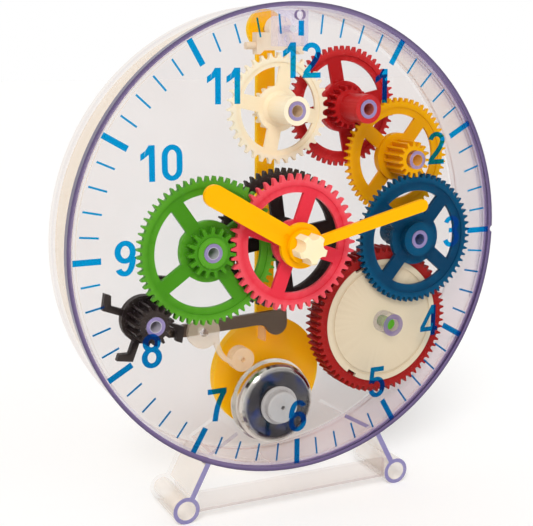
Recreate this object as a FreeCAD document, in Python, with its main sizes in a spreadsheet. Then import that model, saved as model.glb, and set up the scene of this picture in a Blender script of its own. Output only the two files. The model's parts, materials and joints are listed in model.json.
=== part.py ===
import FreeCAD, Part
import math
import operator
import os

import Sketcher

# A geared teaching clock: a clear round case on a clear stand, with the whole movement open to view.
# Millimetres. X runs to the right across the dial, Y from the dial into the clock, Z up.
# Every depth below is measured from the front face of the dial plate, which faces -Y, and every
# wheel is drawn about its own axis. Bearings are in degrees, clockwise from 12 o'clock.

doc = FreeCAD.newDocument("teaching_clock")
sheet = doc.addObject("Spreadsheet::Sheet", "Sizes")


class Size:
    """A number together with the sheet formula that gives it."""

    def __init__(self, value, formula):
        self.value = value
        self.formula = formula

    def __add__(self, other):
        return combined(self, "+", other)

    def __radd__(self, other):
        return combined(other, "+", self)

    def __sub__(self, other):
        return combined(self, "-", other)

    def __rsub__(self, other):
        return combined(other, "-", self)

    def __mul__(self, other):
        return combined(self, "*", other)

    def __rmul__(self, other):
        return combined(other, "*", self)

    def __truediv__(self, other):
        return combined(self, "/", other)

    def __neg__(self):
        return combined(0, "-", self)


signs = {"+": operator.add, "-": operator.sub, "*": operator.mul, "/": operator.truediv}


def as_size(number):
    return number if isinstance(number, Size) else Size(float(number), f"{float(number):.6f}")


def combined(first, sign, second):
    first, second = as_size(first), as_size(second)
    return Size(signs[sign](first.value, second.value), f"({first.formula} {sign} {second.formula})")


def root(number):
    return Size(math.sqrt(number.value), f"sqrt({number.formula})")


def smaller(first, second):
    return Size(min(first.value, second.value), f"min({first.formula}; {second.formula})")


def sine(bearing):
    return Size(math.sin(math.radians(bearing.value)), f"sin({bearing.formula})")


def cosine(bearing):
    return Size(math.cos(math.radians(bearing.value)), f"cos({bearing.formula})")


def sizes(rows):
    """Write rows of (name, number, meaning) to the sheet and return the names as sizes."""
    found = {}
    for row, (name, number, meaning) in enumerate(rows, start=1):
        sheet.set(f"A{row}", meaning)
        sheet.set(f"B{row}", str(number))
        sheet.setAlias(f"B{row}", name)
        found[name] = Size(float(number), f"Sizes.{name}")
    return found


s = sizes((
    ("caseRadius", 82.6, "outer radius of the drum wall"),
    ("caseDepth", 25.4, "depth from the dial face to the back of the rear plate"),
    ("wallThickness", 1.2, "drum wall"),
    ("plateThickness", 2.0, "dial plate"),
    ("rearThickness", 1.8, "rear plate"),
    ("lipWidth", 1.3, "how far the rim of the dial plate stands outside the drum wall"),
    ("lipDepth", 3.2, "depth of the rim of the dial plate"),
    ("centringRing", 1.0, "thickness of the ring that centres the dial plate in the drum"),
    ("seatGap", 0.1, "clearance between pieces that seat on each other"),
    ("pressGap", 0.02, "radial clearance of pieces that are pressed together"),
    ("runningGap", 0.1, "radial clearance of a wheel on its post"),
    ("endGap", 0.4, "end clearance along an axis"),
    ("weld", 1.0, "how far features of one piece reach into each other"),
    ("screwHole", 1.7, "hole in the dial plate at 12 o'clock"),
    ("screwHoleRise", 79.4, "that hole over the centre"),
    ("rimNotch", 1.3, "radius of the notch in the rim at 3 o'clock"),
    ("postRadius", 3.4, "wheel posts, outside"),
    ("postBore", 2.0, "wheel posts, bore radius"),
    ("sleeveRadius", 4.7, "sleeves that space the wheels from the rear plate"),
    ("barrelTeeth", 66, "barrel gear teeth"),
    ("centreTeeth", 60, "black centre wheel teeth"),
    ("cannonTeeth", 15, "cannon pinion teeth"),
    ("minuteTeeth", 60, "green minute wheel teeth"),
    ("minutePinionTeeth", 15, "pinion of the green minute wheel"),
    ("hourTeeth", 45, "pink hour wheel teeth"),
    ("tripTeeth", 15, "black trip pinion teeth"),
    ("bluePinionTeeth", 15, "pinion of the blue wheel"),
    ("blueTeeth", 60, "blue wheel teeth"),
    ("yellowPinionTeeth", 15, "pinion of the yellow wheel"),
    ("yellowTeeth", 54, "yellow wheel teeth"),
    ("redPinionTeeth", 18, "pinion of the red wheel"),
    ("redTeeth", 54, "red wheel teeth"),
    ("escapePinionTeeth", 18, "pinion of the escape wheel"),
    ("escapeTeeth", 36, "escape wheel teeth"),
    ("motionModule", 0.85, "module of the cannon, minute and trip gears"),
    ("barrelModule", 0.835, "module of the barrel, centre wheel and blue pinion"),
    ("trainModule", 0.8, "module of the blue, yellow and red gears"),
    ("toothTop", 0.9, "addendum in modules"),
    ("toothRoot", 1.25, "dedendum in modules"),
    ("gapReach", 0.3, "how far the cutter that makes a tooth gap passes the tips, in modules"),
    ("gapMouth", 1.4, "half width of that cutter at its widest, in modules"),
    ("gapFloor", 0.6, "half width of a tooth gap at its floor, in modules"),
    ("escapeRadius", 19.9, "tip radius of the escape wheel"),
    ("escapeToothDepth", 2.0, "depth of the escape wheel teeth"),
    ("hookOverrun", 0.6, "how far the cutter of the escape teeth passes the tips"),
    ("toothBand", 1.9, "plain band between the tooth roots and the step down to the spokes"),
    ("escapeBand", 1.3, "the same band of the escape wheel"),
    ("hourWeb", 4.4, "hour wheel, from the tooth roots to the spoke windows"),
    ("minuteWeb", 4.4, "minute wheel, the same"),
    ("centreWeb", 4.0, "centre wheel, the same"),
    ("blueWeb", 4.9, "blue wheel, the same"),
    ("yellowWeb", 4.5, "yellow wheel, the same"),
    ("redWeb", 3.8, "red wheel, the same"),
    ("escapeWeb", 3.0, "escape wheel, the same"),
    ("hourDisc", 8.4, "hub disc of the hour wheel"),
    ("minuteDisc", 10.9, "hub disc of the minute wheel"),
    ("centreDisc", 8.0, "hub disc of the centre wheel"),
    ("blueDisc", 10.1, "hub disc of the blue wheel"),
    ("yellowDisc", 9.1, "hub disc of the yellow wheel"),
    ("redDisc", 9.5, "hub disc of the red wheel"),
    ("escapeDisc", 8.2, "hub disc of the escape wheel"),
    ("discRise", 1.0, "how far the discs of the centre, yellow and red wheels stand before them"),
    ("minuteCollar", 5.5, "front collar of the minute wheel"),
    ("blueCollar", 6.5, "front collar of the blue wheel"),
    ("redCollar", 5.2, "front collar of the red wheel"),
    ("escapeCollar", 5.1, "front collar of the escape wheel"),
    ("coneDepth", 1.2, "cones between a collar and its wheel"),
    ("wheelSpokes", 4, "spokes of each wheel, and arms of the trip wheel"),
    ("hourSpokes", 20.0, "bearing of a spoke of the hour wheel"),
    ("minuteSpokes", -35.0, "bearing of a spoke of the minute wheel"),
    ("centreSpokes", -8.0, "bearing of a spoke of the centre wheel"),
    ("blueSpokes", 40.0, "bearing of a spoke of the blue wheel"),
    ("yellowSpokes", 38.0, "bearing of a spoke of the yellow wheel"),
    ("redSpokes", -12.0, "bearing of a spoke of the red wheel"),
    ("escapeSpokes", 12.0, "bearing of a spoke of the escape wheel"),
    ("tripArms", 21.0, "bearing of a trip arm"),
    ("minuteBearing", 268.2, "bearing of the green axis from the centre"),
    ("tripBearing", 222.0, "bearing of the trip axis from the green axis"),
    ("blueDistance", 52.4, "distance of the blue axis from the centre"),
    ("blueBearing", 92.5, "bearing of the blue axis from the centre"),
    ("yellowBearing", 356.0, "bearing of the yellow axis from the blue axis"),
    ("escapeRise", 46.8, "height of the escape axis over the centre"),
    ("pivotRise", 74.8, "height of the anchor pivot over the centre"),
    ("hourWheelFront", 3.4, "front face of the hour wheel"),
    ("hourWheelThickness", 2.1, "hour wheel"),
    ("minuteWheelFront", 5.9, "front face of the minute wheel"),
    ("minuteWheelThickness", 2.3, "minute wheel"),
    ("centreWheelFront", 14.0, "front face of the centre wheel"),
    ("centreWheelThickness", 2.3, "centre wheel"),
    ("barrelFront", 8.0, "front face of the barrel gear"),
    ("barrelDepth", 8.8, "barrel gear, front to back"),
    ("barrelWall", 1.5, "floor of the barrel"),
    ("coverRadius", 23.8, "barrel cover"),
    ("coverThickness", 1.4, "barrel cover"),
    ("coverLedge", 1.0, "ledge that the barrel cover lies on"),
    ("coverBead", 0.9, "width of the groove just inside the edge of the cover"),
    ("coverGroove", 0.3, "depth of that groove"),
    ("prySlots", 3, "slots in the edge of the cover"),
    ("prySlotBearing", 214.0, "bearing of the first slot"),
    ("prySlotWidth", 4.0, "slots in the edge of the cover, across"),
    ("prySlotDepth", 1.3, "slots in the edge of the cover, inwards"),
    ("blueWheelFront", 5.2, "front face of the blue wheel"),
    ("blueWheelThickness", 2.2, "blue wheel"),
    ("yellowWheelFront", 16.3, "front face of the yellow wheel"),
    ("redWheelFront", 21.2, "front face of the red wheel"),
    ("escapeWheelFront", 16.6, "front face of the escape wheel"),
    ("thinWheel", 1.9, "thickness of the yellow, red and escape wheels"),
    ("spokeRecess", 0.3, "how far spokes lie below the faces of their rim"),
    ("spokeWidth", 5.2, "spokes"),
    ("pipeRadius", 4.6, "hour pipe, outside"),
    ("minutePipeRadius", 3.3, "minute pipe, outside"),
    ("centrePinRadius", 1.8, "fixed pin in the middle of the clock"),
    ("platePipeGap", 0.5, "radial clearance of the hour pipe in the dial plate"),
    ("handThickness", 1.8, "hands"),
    ("handGap", 0.7, "gap between dial plate, hour hand and minute hand"),
    ("hourHandLength", 38.3, "centre to the middle of the round tip, hour hand"),
    ("hourHandTip", 3.9, "tip radius of the hour hand"),
    ("hourHandRoot", 3.8, "half width of the hour hand at its hub"),
    ("hourHandBearing", 300.5, "where the hour hand points"),
    ("handMarkPlace", 7.2, "centre to the round sink in the hour hand"),
    ("handMark", 1.0, "round sink in the hour hand"),
    ("sinkDepth", 0.3, "depth of small round sinks"),
    ("hourHandHub", 8.2, "hub radius of the hour hand"),
    ("minuteHandLength", 49.8, "centre to the middle of the round tip, minute hand"),
    ("minuteHandTip", 2.3, "tip radius of the minute hand"),
    ("minuteHandRoot", 1.9, "half width of the minute hand at its hub"),
    ("minuteHandBearing", 76.4, "where the minute hand points"),
    ("minuteHandHub", 6.2, "hub radius of the minute hand"),
    ("knobRadius", 5.4, "star knob that sets the hands"),
    ("knobDepth", 6.8, "star knob, front to back"),
    ("knobLobes", 5, "lobes of the star knob"),
    ("knobFlute", 2.27, "radius of the hollows between the lobes"),
    ("knobEdge", 0.7, "rounding of the front edge of the knob"),
    ("arborRadius", 2.1, "winding arbor"),
    ("arborCore", 4.0, "core of the winding arbor, which the mainspring winds on"),
    ("arborBoss", 4.2, "clear boss round the winding arbor"),
    ("keyLength", 30.0, "winding key, tip to tip"),
    ("keyHeight", 9.0, "winding key wing, front to back"),
    ("keyThickness", 3.4, "winding key wing"),
    ("keyShank", 4.4, "winding key shank radius"),
    ("keyGap", 5.6, "gap between the case and the key wing"),
    ("keyRounding", 3.6, "rounding of the corners of the key wing"),
    ("springTurns", 4, "turns of the mainspring"),
    ("springStrip", 0.5, "thickness of the mainspring strip"),
    ("pendulumGap", 2.2, "gap between the case and the pendulum rod"),
    ("rodWidth", 7.2, "pendulum rod"),
    ("rodThickness", 2.0, "pendulum rod"),
    ("headRadius", 7.2, "rounded head of the pendulum rod"),
    ("bobDrop", 54.3, "height of the bob below the centre"),
    ("bobRadius", 22.0, "pendulum bob"),
    ("bobThickness", 3.9, "pendulum bob"),
    ("bobSocket", 10.0, "how far the rod reaches into the bob"),
    ("anchorPin", 1.2, "radius of the anchor arbor"),
    ("anchorHead", 4.6, "round head of the anchor"),
    ("anchorWidth", 18.6, "anchor block"),
    ("anchorTop", 73.6, "top of the anchor block over the centre"),
    ("anchorBottom", 67.4, "bottom of the anchor block over the centre"),
    ("anchorFront", 15.6, "front face of the anchor"),
    ("anchorThickness", 3.8, "anchor"),
    ("palletReach", 8.6, "distance of each pallet from the pendulum line"),
    ("palletWidth", 1.2, "pallet tip"),
    ("palletGap", 0.9, "gap between the pallets and the tips of the escape wheel at rest"),
    ("palletRoot", 3.4, "width of a pallet where it leaves the block"),
    ("pegRadius", 1.3, "peg at the left end of the anchor"),
    ("pegLength", 3.6, "peg at the left end of the anchor"),
    ("pegRise", 1.6, "middle of the peg over the bottom of the block"),
    ("bracketWidth", 11.8, "clear bracket that holds the front of the anchor arbor"),
    ("bracketBottom", 68.8, "bottom of the clear bracket over the centre"),
    ("bracketFront", 6.0, "front face of the clear bracket"),
    ("bracketDepth", 5.4, "clear bracket"),
    ("ringRadius", 2.3, "two small rings on the front of the bracket"),
    ("ringBore", 1.2, "hollow of those rings"),
    ("ringSpread", 3.4, "those rings from the anchor arbor, up and down"),
    ("ringOffset", 2.0, "those rings, to the left of the middle"),
    ("ringHeight", 0.5, "how far those rings stand out"),
    ("bellRadius", 16.2, "bell"),
    ("bellDrop", 63.0, "height of the bell below the centre"),
    ("bellOffset", -1.6, "bell, across"),
    ("bellFront", 12.4, "front face of the bell"),
    ("bellDepth", 7.4, "bell, front to back"),
    ("bellSheet", 0.9, "sheet thickness of the bell"),
    ("bellFlange", 0.8, "width of the flange of the bell"),
    ("bellShoulder", 3.2, "outside rounding of the bell"),
    ("plugRadius", 6.1, "nylon plug that holds the bell"),
    ("plugFront", 8.2, "front face of the plug"),
    ("plugEdge", 0.5, "chamfer of the plug"),
    ("plugCollar", 7.3, "collar of the plug against the bell"),
    ("plugCollarDepth", 1.0, "collar of the plug, front to back"),
    ("plugStem", 2.4, "stem of the plug"),
    ("plugSink", 0.8, "hole in the front of the plug"),
    ("plugSinkDepth", 2.5, "hole in the front of the plug"),
    ("hammerX", -30.4, "hammer pivot, across"),
    ("hammerZ", -32.3, "hammer pivot, over the centre"),
    ("hammerHub", 6.1, "nylon hub of the hammer"),
    ("hammerFront", 14.8, "front face of the nylon hammer"),
    ("hammerThickness", 2.2, "nylon hammer"),
    ("hammerPin", 1.5, "hammer pivot pin"),
    ("strikerX", 15.4, "striker from the pivot, across"),
    ("strikerZ", -12.2, "striker from the pivot, up"),
    ("strikerRadius", 4.5, "striker"),
    ("strikerDepth", 4.6, "striker, front to back"),
    ("strikerBore", 0.9, "hole in the front of the striker"),
    ("armStrip", 1.8, "thin arm that carries the striker, across"),
    ("leverHeight", 4.6, "steel lever bar"),
    ("leverRise", 0.95, "middle line of the bar over the pivot"),
    ("leverThickness", 1.6, "steel lever bar"),
    ("leverLeft", 12.8, "lever bar, from the pivot to its short end"),
    ("leverEnd", 3.8, "height of the bar at its short end"),
    ("leverRight", 34.5, "lever bar, from the pivot to its heavy end"),
    ("leverHollow", 4.1, "hollow where the bar runs into the weight"),
    ("weightDrop", 2.9, "centre of the round weight below the bar's middle line"),
    ("weightRadius", 4.3, "round weight at the heavy end"),
    ("leverSlope", 2.6, "slope of the bar, degrees"),
    ("stopSetback", 0.6, "stop rib, from the left edge of the weight"),
    ("stopThickness", 0.7, "stop rib"),
    ("stopHeight", 4.8, "stop rib"),
    ("armReach", 15.6, "trip arms, from the axis to the outer edge"),
    ("armWidth", 2.4, "trip arms"),
    ("armHook", 3.4, "hook at the end of each trip arm"),
    ("armFront", 14.0, "front face of the trip arms"),
    ("armThickness", 2.4, "trip arms"),
    ("tripPinionFront", 3.2, "front face of the trip pinion"),
    ("tripFlange", 8.6, "flange at the back of the trip pinion"),
    ("tripFlangeRise", 0.8, "how far that flange stands before the arms"),
    ("legX", 34.4, "where a leg leaves the drum, across"),
    ("legThickness", 2.0, "leg plates"),
    ("footX", 43.5, "foot tubes, across"),
    ("footGap", 10.1, "centres of the foot tubes below the drum"),
    ("footRadius", 5.0, "foot tubes, outside"),
    ("footBore", 3.5, "foot tubes, bore"),
    ("stripRise", 5.8, "top of the cross strip over the centres of the foot tubes"),
    ("stripHeight", 7.2, "cross strip"),
    ("stripThickness", 2.0, "cross strip"),
    ("ribLength", 14.0, "clear ribs that carry the legs inside the drum"),
    ("ribThickness", 1.4, "clear ribs"),
    ("ribSlope", 30.0, "slope of those ribs, degrees"),
))
doc.recompute()

# ---------------------------------------------------------------- where things are

rear_face = s["caseDepth"] - s["rearThickness"]
sleeve_end = rear_face - s["endGap"]
post_front = s["plateThickness"] + 2 * s["seatGap"]
collar_front = s["plateThickness"] + s["endGap"]
wheel_bore = s["postRadius"] + s["runningGap"]
key_front = s["caseDepth"] + s["keyGap"]
key_back = key_front + s["keyHeight"]
pendulum_front = s["caseDepth"] + s["pendulumGap"]
foot_drop = s["caseRadius"] + s["footGap"]

hour_hand_front = -s["handGap"] - s["handThickness"]
minute_hand_front = hour_hand_front - s["handGap"] - s["handThickness"]
knob_front = minute_hand_front - s["seatGap"] - s["knobDepth"]

middle_depth = (knob_front + key_back) / 2
dial_height = foot_drop + s["footRadius"]


def centre_distance(module, first, second):
    return module * (s[first] + s[second]) / 2


motion_distance = centre_distance(s["motionModule"], "minuteTeeth", "cannonTeeth")
hour_module = 2 * motion_distance / (s["hourTeeth"] + s["minutePinionTeeth"])


def step(start, distance, bearing):
    return start[0] + distance * sine(bearing), start[1] + distance * cosine(bearing)


def apex(start, end, first, second):
    """The point at distance first from start and second from end, left of the way from start to end."""
    along_x, along_z = end[0] - start[0], end[1] - start[1]
    span = root(along_x * along_x + along_z * along_z)
    foot = (first * first - second * second + span * span) / (2 * span)
    side = root(first * first - foot * foot)
    x = start[0] + (foot * along_x - side * along_z) / span
    z = start[1] + (foot * along_z + side * along_x) / span
    return x, z


nought = Size(0.0, "0.000000")
centre_axis = (nought, nought)
minute_axis = step(centre_axis, motion_distance, s["minuteBearing"])
trip_axis = step(minute_axis, centre_distance(s["motionModule"], "minuteTeeth", "tripTeeth"), s["tripBearing"])
blue_axis = step(centre_axis, s["blueDistance"], s["blueBearing"])
barrel_axis = apex(
    blue_axis,
    centre_axis,
    centre_distance(s["barrelModule"], "barrelTeeth", "bluePinionTeeth"),
    centre_distance(s["barrelModule"], "barrelTeeth", "centreTeeth"),
)
yellow_axis = step(
    blue_axis, centre_distance(s["trainModule"], "blueTeeth", "yellowPinionTeeth"), s["yellowBearing"]
)
escape_axis = (nought, s["escapeRise"])
red_axis = apex(
    escape_axis,
    yellow_axis,
    centre_distance(s["trainModule"], "redTeeth", "escapePinionTeeth"),
    centre_distance(s["trainModule"], "yellowTeeth", "redPinionTeeth"),
)
pivot_axis = (nought, s["pivotRise"])
bell_axis = (s["bellOffset"], -s["bellDrop"])
hammer_axis = (s["hammerX"], s["hammerZ"])
post_axes = (minute_axis, trip_axis, blue_axis, yellow_axis, red_axis, escape_axis)


def bearing_of(start, end):
    return math.degrees(math.atan2(end[0].value - start[0].value, end[1].value - start[1].value))


def meshed_turn(turn, teeth, next_teeth, start, end):
    """The turn that puts the next gear in mesh with a gear that is turned by turn, both with a gap at 12."""
    bearing = bearing_of(start, end)
    ratio = s[teeth].value / s[next_teeth].value
    return bearing + 180 - 180 / s[next_teeth].value + (bearing - turn) * ratio


centre_turn = 0.0
barrel_turn = meshed_turn(centre_turn, "centreTeeth", "barrelTeeth", centre_axis, barrel_axis)
blue_turn = meshed_turn(barrel_turn, "barrelTeeth", "bluePinionTeeth", barrel_axis, blue_axis)
yellow_turn = meshed_turn(blue_turn, "blueTeeth", "yellowPinionTeeth", blue_axis, yellow_axis)
red_turn = meshed_turn(yellow_turn, "yellowTeeth", "redPinionTeeth", yellow_axis, red_axis)
escape_turn = meshed_turn(red_turn, "redTeeth", "escapePinionTeeth", red_axis, escape_axis)
minute_turn = meshed_turn(centre_turn, "cannonTeeth", "minuteTeeth", centre_axis, minute_axis)
hour_turn = meshed_turn(minute_turn, "minutePinionTeeth", "hourTeeth", minute_axis, centre_axis)
trip_turn = meshed_turn(minute_turn, "minuteTeeth", "tripTeeth", minute_axis, trip_axis)

# ---------------------------------------------------------------- sketches and features

made = []
turns = {}


def new_body(label, axis=centre_axis, turn=0.0):
    """A piece drawn about axis, turned clockwise about it by turn degrees, and set in the clock's frame."""
    body = doc.addObject("PartDesign::Body", label)
    body.Label = label
    body.Placement = FreeCAD.Placement(
        FreeCAD.Vector(axis[0].value, -middle_depth.value, axis[1].value + dial_height.value),
        FreeCAD.Rotation(FreeCAD.Vector(0, 1, 0), turn),
    )
    body.setExpression(".Placement.Base.x", axis[0].formula)
    body.setExpression(".Placement.Base.y", (-middle_depth).formula)
    body.setExpression(".Placement.Base.z", (axis[1] + dial_height).formula)
    made.append(body)
    turns[label] = turn
    return body


def new_sketch(body, role, name, depth=nought, bearing=0.0):
    """A sketch on one of the body's own planes: across the axis at a depth, or along the axis."""
    sketch = body.newObject("Sketcher::SketchObject", f"{body.Name}_{name}_sketch")
    plane = [feature for feature in body.Origin.OriginFeatures if feature.Role == role][0]
    sketch.AttachmentSupport = (plane, [""])
    sketch.MapMode = "FlatFace"
    sketch.AttachmentOffset = FreeCAD.Placement(
        FreeCAD.Vector(0, 0, -depth.value), FreeCAD.Rotation(FreeCAD.Vector(0, 0, 1), -bearing)
    )
    if role == "XZ_Plane":
        sketch.setExpression(".AttachmentOffset.Base.z", (-depth).formula)
    return sketch


def hold(sketch, kind, places, size):
    number = sketch.addConstraint(Sketcher.Constraint(kind, *places, size.value))
    sketch.setExpression(f"Constraints[{number}]", size.formula)


def draw_outline(sketch, points):
    """A closed outline of straight lines with every corner held by the sheet."""
    points = [(as_size(x), as_size(y)) for x, y in points]
    vectors = [FreeCAD.Vector(x.value, y.value, 0) for x, y in points]
    first = sketch.GeometryCount
    count = len(points)
    for k in range(count):
        sketch.addGeometry(Part.LineSegment(vectors[k], vectors[(k + 1) % count]))
    for k in range(count):
        sketch.addConstraint(Sketcher.Constraint("Coincident", first + k, 2, first + (k + 1) % count, 1))
    for k, (x, y) in enumerate(points):
        hold(sketch, "DistanceX", (-1, 1, first + k, 1), x)
        hold(sketch, "DistanceY", (-1, 1, first + k, 1), y)


def draw_circle(sketch, radius, centre=centre_axis):
    across, up = as_size(centre[0]), as_size(centre[1])
    circle = Part.Circle(FreeCAD.Vector(across.value, up.value, 0), FreeCAD.Vector(0, 0, 1), radius.value)
    index = sketch.addGeometry(circle)
    hold(sketch, "DistanceX", (-1, 1, index, 3), across)
    hold(sketch, "DistanceY", (-1, 1, index, 3), up)
    hold(sketch, "Radius", (index,), radius)


def feature(body, kind, name, sketch):
    made_feature = body.newObject(f"PartDesign::{kind}", f"{body.Name}_{name}")
    made_feature.Profile = sketch
    return made_feature


def add(body, name, sketch, length):
    """Pad a sketch from its own depth towards the back of the clock."""
    pad = feature(body, "Pad", name, sketch)
    pad.setExpression("Length", length.formula)
    pad.Reversed = True
    return pad


def cut(body, name, sketch, length=None):
    """Pocket a sketch from its own depth towards the back, through everything unless a length is given."""
    pocket = feature(body, "Pocket", name, sketch)
    if length is None:
        pocket.Type = "ThroughAll"
    else:
        pocket.setExpression("Length", length.formula)
    return pocket


def spin(body, name, points, kind="Revolution"):
    """Turn an outline of (radius, depth) corners about the body's axis."""
    sketch = new_sketch(body, "XY_Plane", name)
    draw_outline(sketch, points)
    turned = feature(body, kind, name, sketch)
    turned.ReferenceAxis = (sketch, ["V_Axis"])
    turned.Angle = 360
    return turned


def repeat(body, name, original, sketch, count):
    pattern = body.newObject("PartDesign::PolarPattern", f"{body.Name}_{name}")
    pattern.Originals = [original]
    pattern.Axis = (sketch, ["N_Axis"])
    pattern.Angle = 360
    pattern.setExpression("Occurrences", as_size(count).formula)
    body.Tip = pattern
    return pattern


def disc(body, name, radius, front, thickness, centre=centre_axis, bore=None):
    sketch = new_sketch(body, "XZ_Plane", name, front)
    draw_circle(sketch, radius, centre)
    if bore is not None:
        draw_circle(sketch, bore, centre)
    return add(body, name, sketch, thickness)


def plate(body, name, points, front, thickness, bearing=0.0):
    sketch = new_sketch(body, "XZ_Plane", name, front, bearing)
    draw_outline(sketch, points)
    return add(body, name, sketch, thickness)


def bore(body, name, radius, front, length=None, centre=centre_axis):
    sketch = new_sketch(body, "XZ_Plane", name, front)
    draw_circle(sketch, radius, centre)
    return cut(body, name, sketch, length)


def round_edges(body, name, radius, wanted):
    """Fillet the edges of the newest feature for which wanted(edge) is true."""
    doc.recompute()
    base = body.Tip
    names = [f"Edge{k}" for k, edge in enumerate(base.Shape.Edges, start=1) if wanted(edge)]
    if not names:
        raise RuntimeError(f"{body.Label}: no edge for {name}")
    fillet = body.newObject("PartDesign::Fillet", f"{body.Name}_{name}")
    fillet.Base = (base, names)
    fillet.setExpression("Radius", radius.formula)
    return fillet


# ---------------------------------------------------------------- gears


def tip_radius(teeth, module):
    return module * (s[teeth] / 2 + s["toothTop"])


def root_radius(teeth, module):
    return module * (s[teeth] / 2 - s["toothRoot"])


def cut_teeth(body, name, teeth, module, front, length):
    """Cut one tooth gap at 12 o'clock and repeat it round the blank."""
    outside = tip_radius(teeth, module) + module * s["gapReach"]
    inside = root_radius(teeth, module)
    sketch = new_sketch(body, "XZ_Plane", name, front)
    draw_outline(sketch, [
        (-module * s["gapMouth"], outside),
        (-module * s["gapFloor"], inside),
        (module * s["gapFloor"], inside),
        (module * s["gapMouth"], outside),
    ])
    gap = cut(body, name, sketch, length)
    repeat(body, f"{name}_round", gap, sketch, s[teeth])


def add_wheel(body, teeth, module, front, thickness, hub, web, spokes):
    """Spokes, rim and teeth round a hub that is already there."""
    add_rim(body, front, thickness, hub, root_radius(teeth, module), tip_radius(teeth, module), web, spokes)
    cut_teeth(body, "tooth_gap", teeth, module, front, thickness)


def add_rim(body, front, thickness, hub, roots, tip, web, spokes, band=s["toothBand"]):
    """Spokes, the low part of the rim at their height, and the raised band that the teeth are cut in."""
    half = s["spokeWidth"] / 2
    window = roots - web
    low_front = front + s["spokeRecess"]
    back = front + thickness
    low_back = back - s["spokeRecess"]
    sketch = new_sketch(body, "XZ_Plane", "spoke", low_front, spokes.value - body_turn(body))
    draw_outline(sketch, [
        (-half, hub - s["weld"]),
        (half, hub - s["weld"]),
        (half, window + s["weld"]),
        (-half, window + s["weld"]),
    ])
    spoke = add(body, "spoke", sketch, low_back - low_front)
    repeat(body, "spokes", spoke, sketch, s["wheelSpokes"])
    spin(body, "rim", [
        (window, low_front),
        (roots - band, low_front),
        (roots - band, front),
        (tip, front),
        (tip, back),
        (roots - band, back),
        (roots - band, low_back),
        (window, low_back),
    ])


def body_turn(body):
    """The turn that a body was given in new_body, in degrees clockwise."""
    return turns[body.Label]


def add_pinion(body, name, teeth, module, front, length, bore_radius):
    disc(body, name, tip_radius(teeth, module), front, length, bore=bore_radius)
    cut_teeth(body, f"{name}_gap", teeth, module, front, length)


# ---------------------------------------------------------------- case


def front_cover():
    body = new_body("front_cover")
    outside = s["caseRadius"] + s["lipWidth"]
    inside_wall = s["caseRadius"] - s["wallThickness"] - s["seatGap"]
    hole = s["pipeRadius"] + s["platePipeGap"]
    spin(body, "dial_plate", [
        (hole, 0),
        (outside, 0),
        (outside, s["lipDepth"]),
        (s["caseRadius"] + s["seatGap"], s["lipDepth"]),
        (s["caseRadius"] + s["seatGap"], s["plateThickness"]),
        (inside_wall, s["plateThickness"]),
        (inside_wall, s["lipDepth"]),
        (inside_wall - s["centringRing"], s["lipDepth"]),
        (inside_wall - s["centringRing"], s["plateThickness"]),
        (hole, s["plateThickness"]),
    ])
    boss_front = s["plateThickness"] / 2
    boss_length = s["barrelFront"] - s["endGap"] - boss_front
    disc(body, "arbor_boss", s["arborBoss"], boss_front, boss_length, barrel_axis)
    bore(body, "arbor_bearing", s["arborRadius"] + s["runningGap"], s["plateThickness"], None, barrel_axis)
    bore(body, "screw_hole", s["screwHole"], nought, s["plateThickness"], (nought, s["screwHoleRise"]))
    notch_place = (outside + s["rimNotch"] / 3, nought)
    bore(body, "rim_notch", s["rimNotch"], nought, s["lipDepth"], notch_place)


def leg_line(side):
    """The foot tube's centre, a unit step from it up along the leg, and the leg's length to the drum."""
    foot = (side * s["footX"], -foot_drop)
    drop = root(s["caseRadius"] * s["caseRadius"] - s["legX"] * s["legX"])
    x, z = side * s["legX"] - foot[0], -drop - foot[1]
    length = root(x * x + z * z)
    return foot, (x / length, z / length), length


def reach_to_drum(foot, way, across):
    """How far up the leg the drum lies, at that distance across from the leg's middle line."""
    x, z = foot[0] - way[1] * across, foot[1] + way[0] * across
    along = x * way[0] + z * way[1]
    return -along - root(along * along - x * x - z * z + s["caseRadius"] * s["caseRadius"])


def bar_outline(start, way, first, last, half):
    """A straight bar from first to last along way, measured from start."""
    def corner(along, across):
        return start[0] + way[0] * along - way[1] * across, start[1] + way[1] * along + way[0] * across

    return [corner(first, -half), corner(last, -half), corner(last, half), corner(first, half)]


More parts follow.
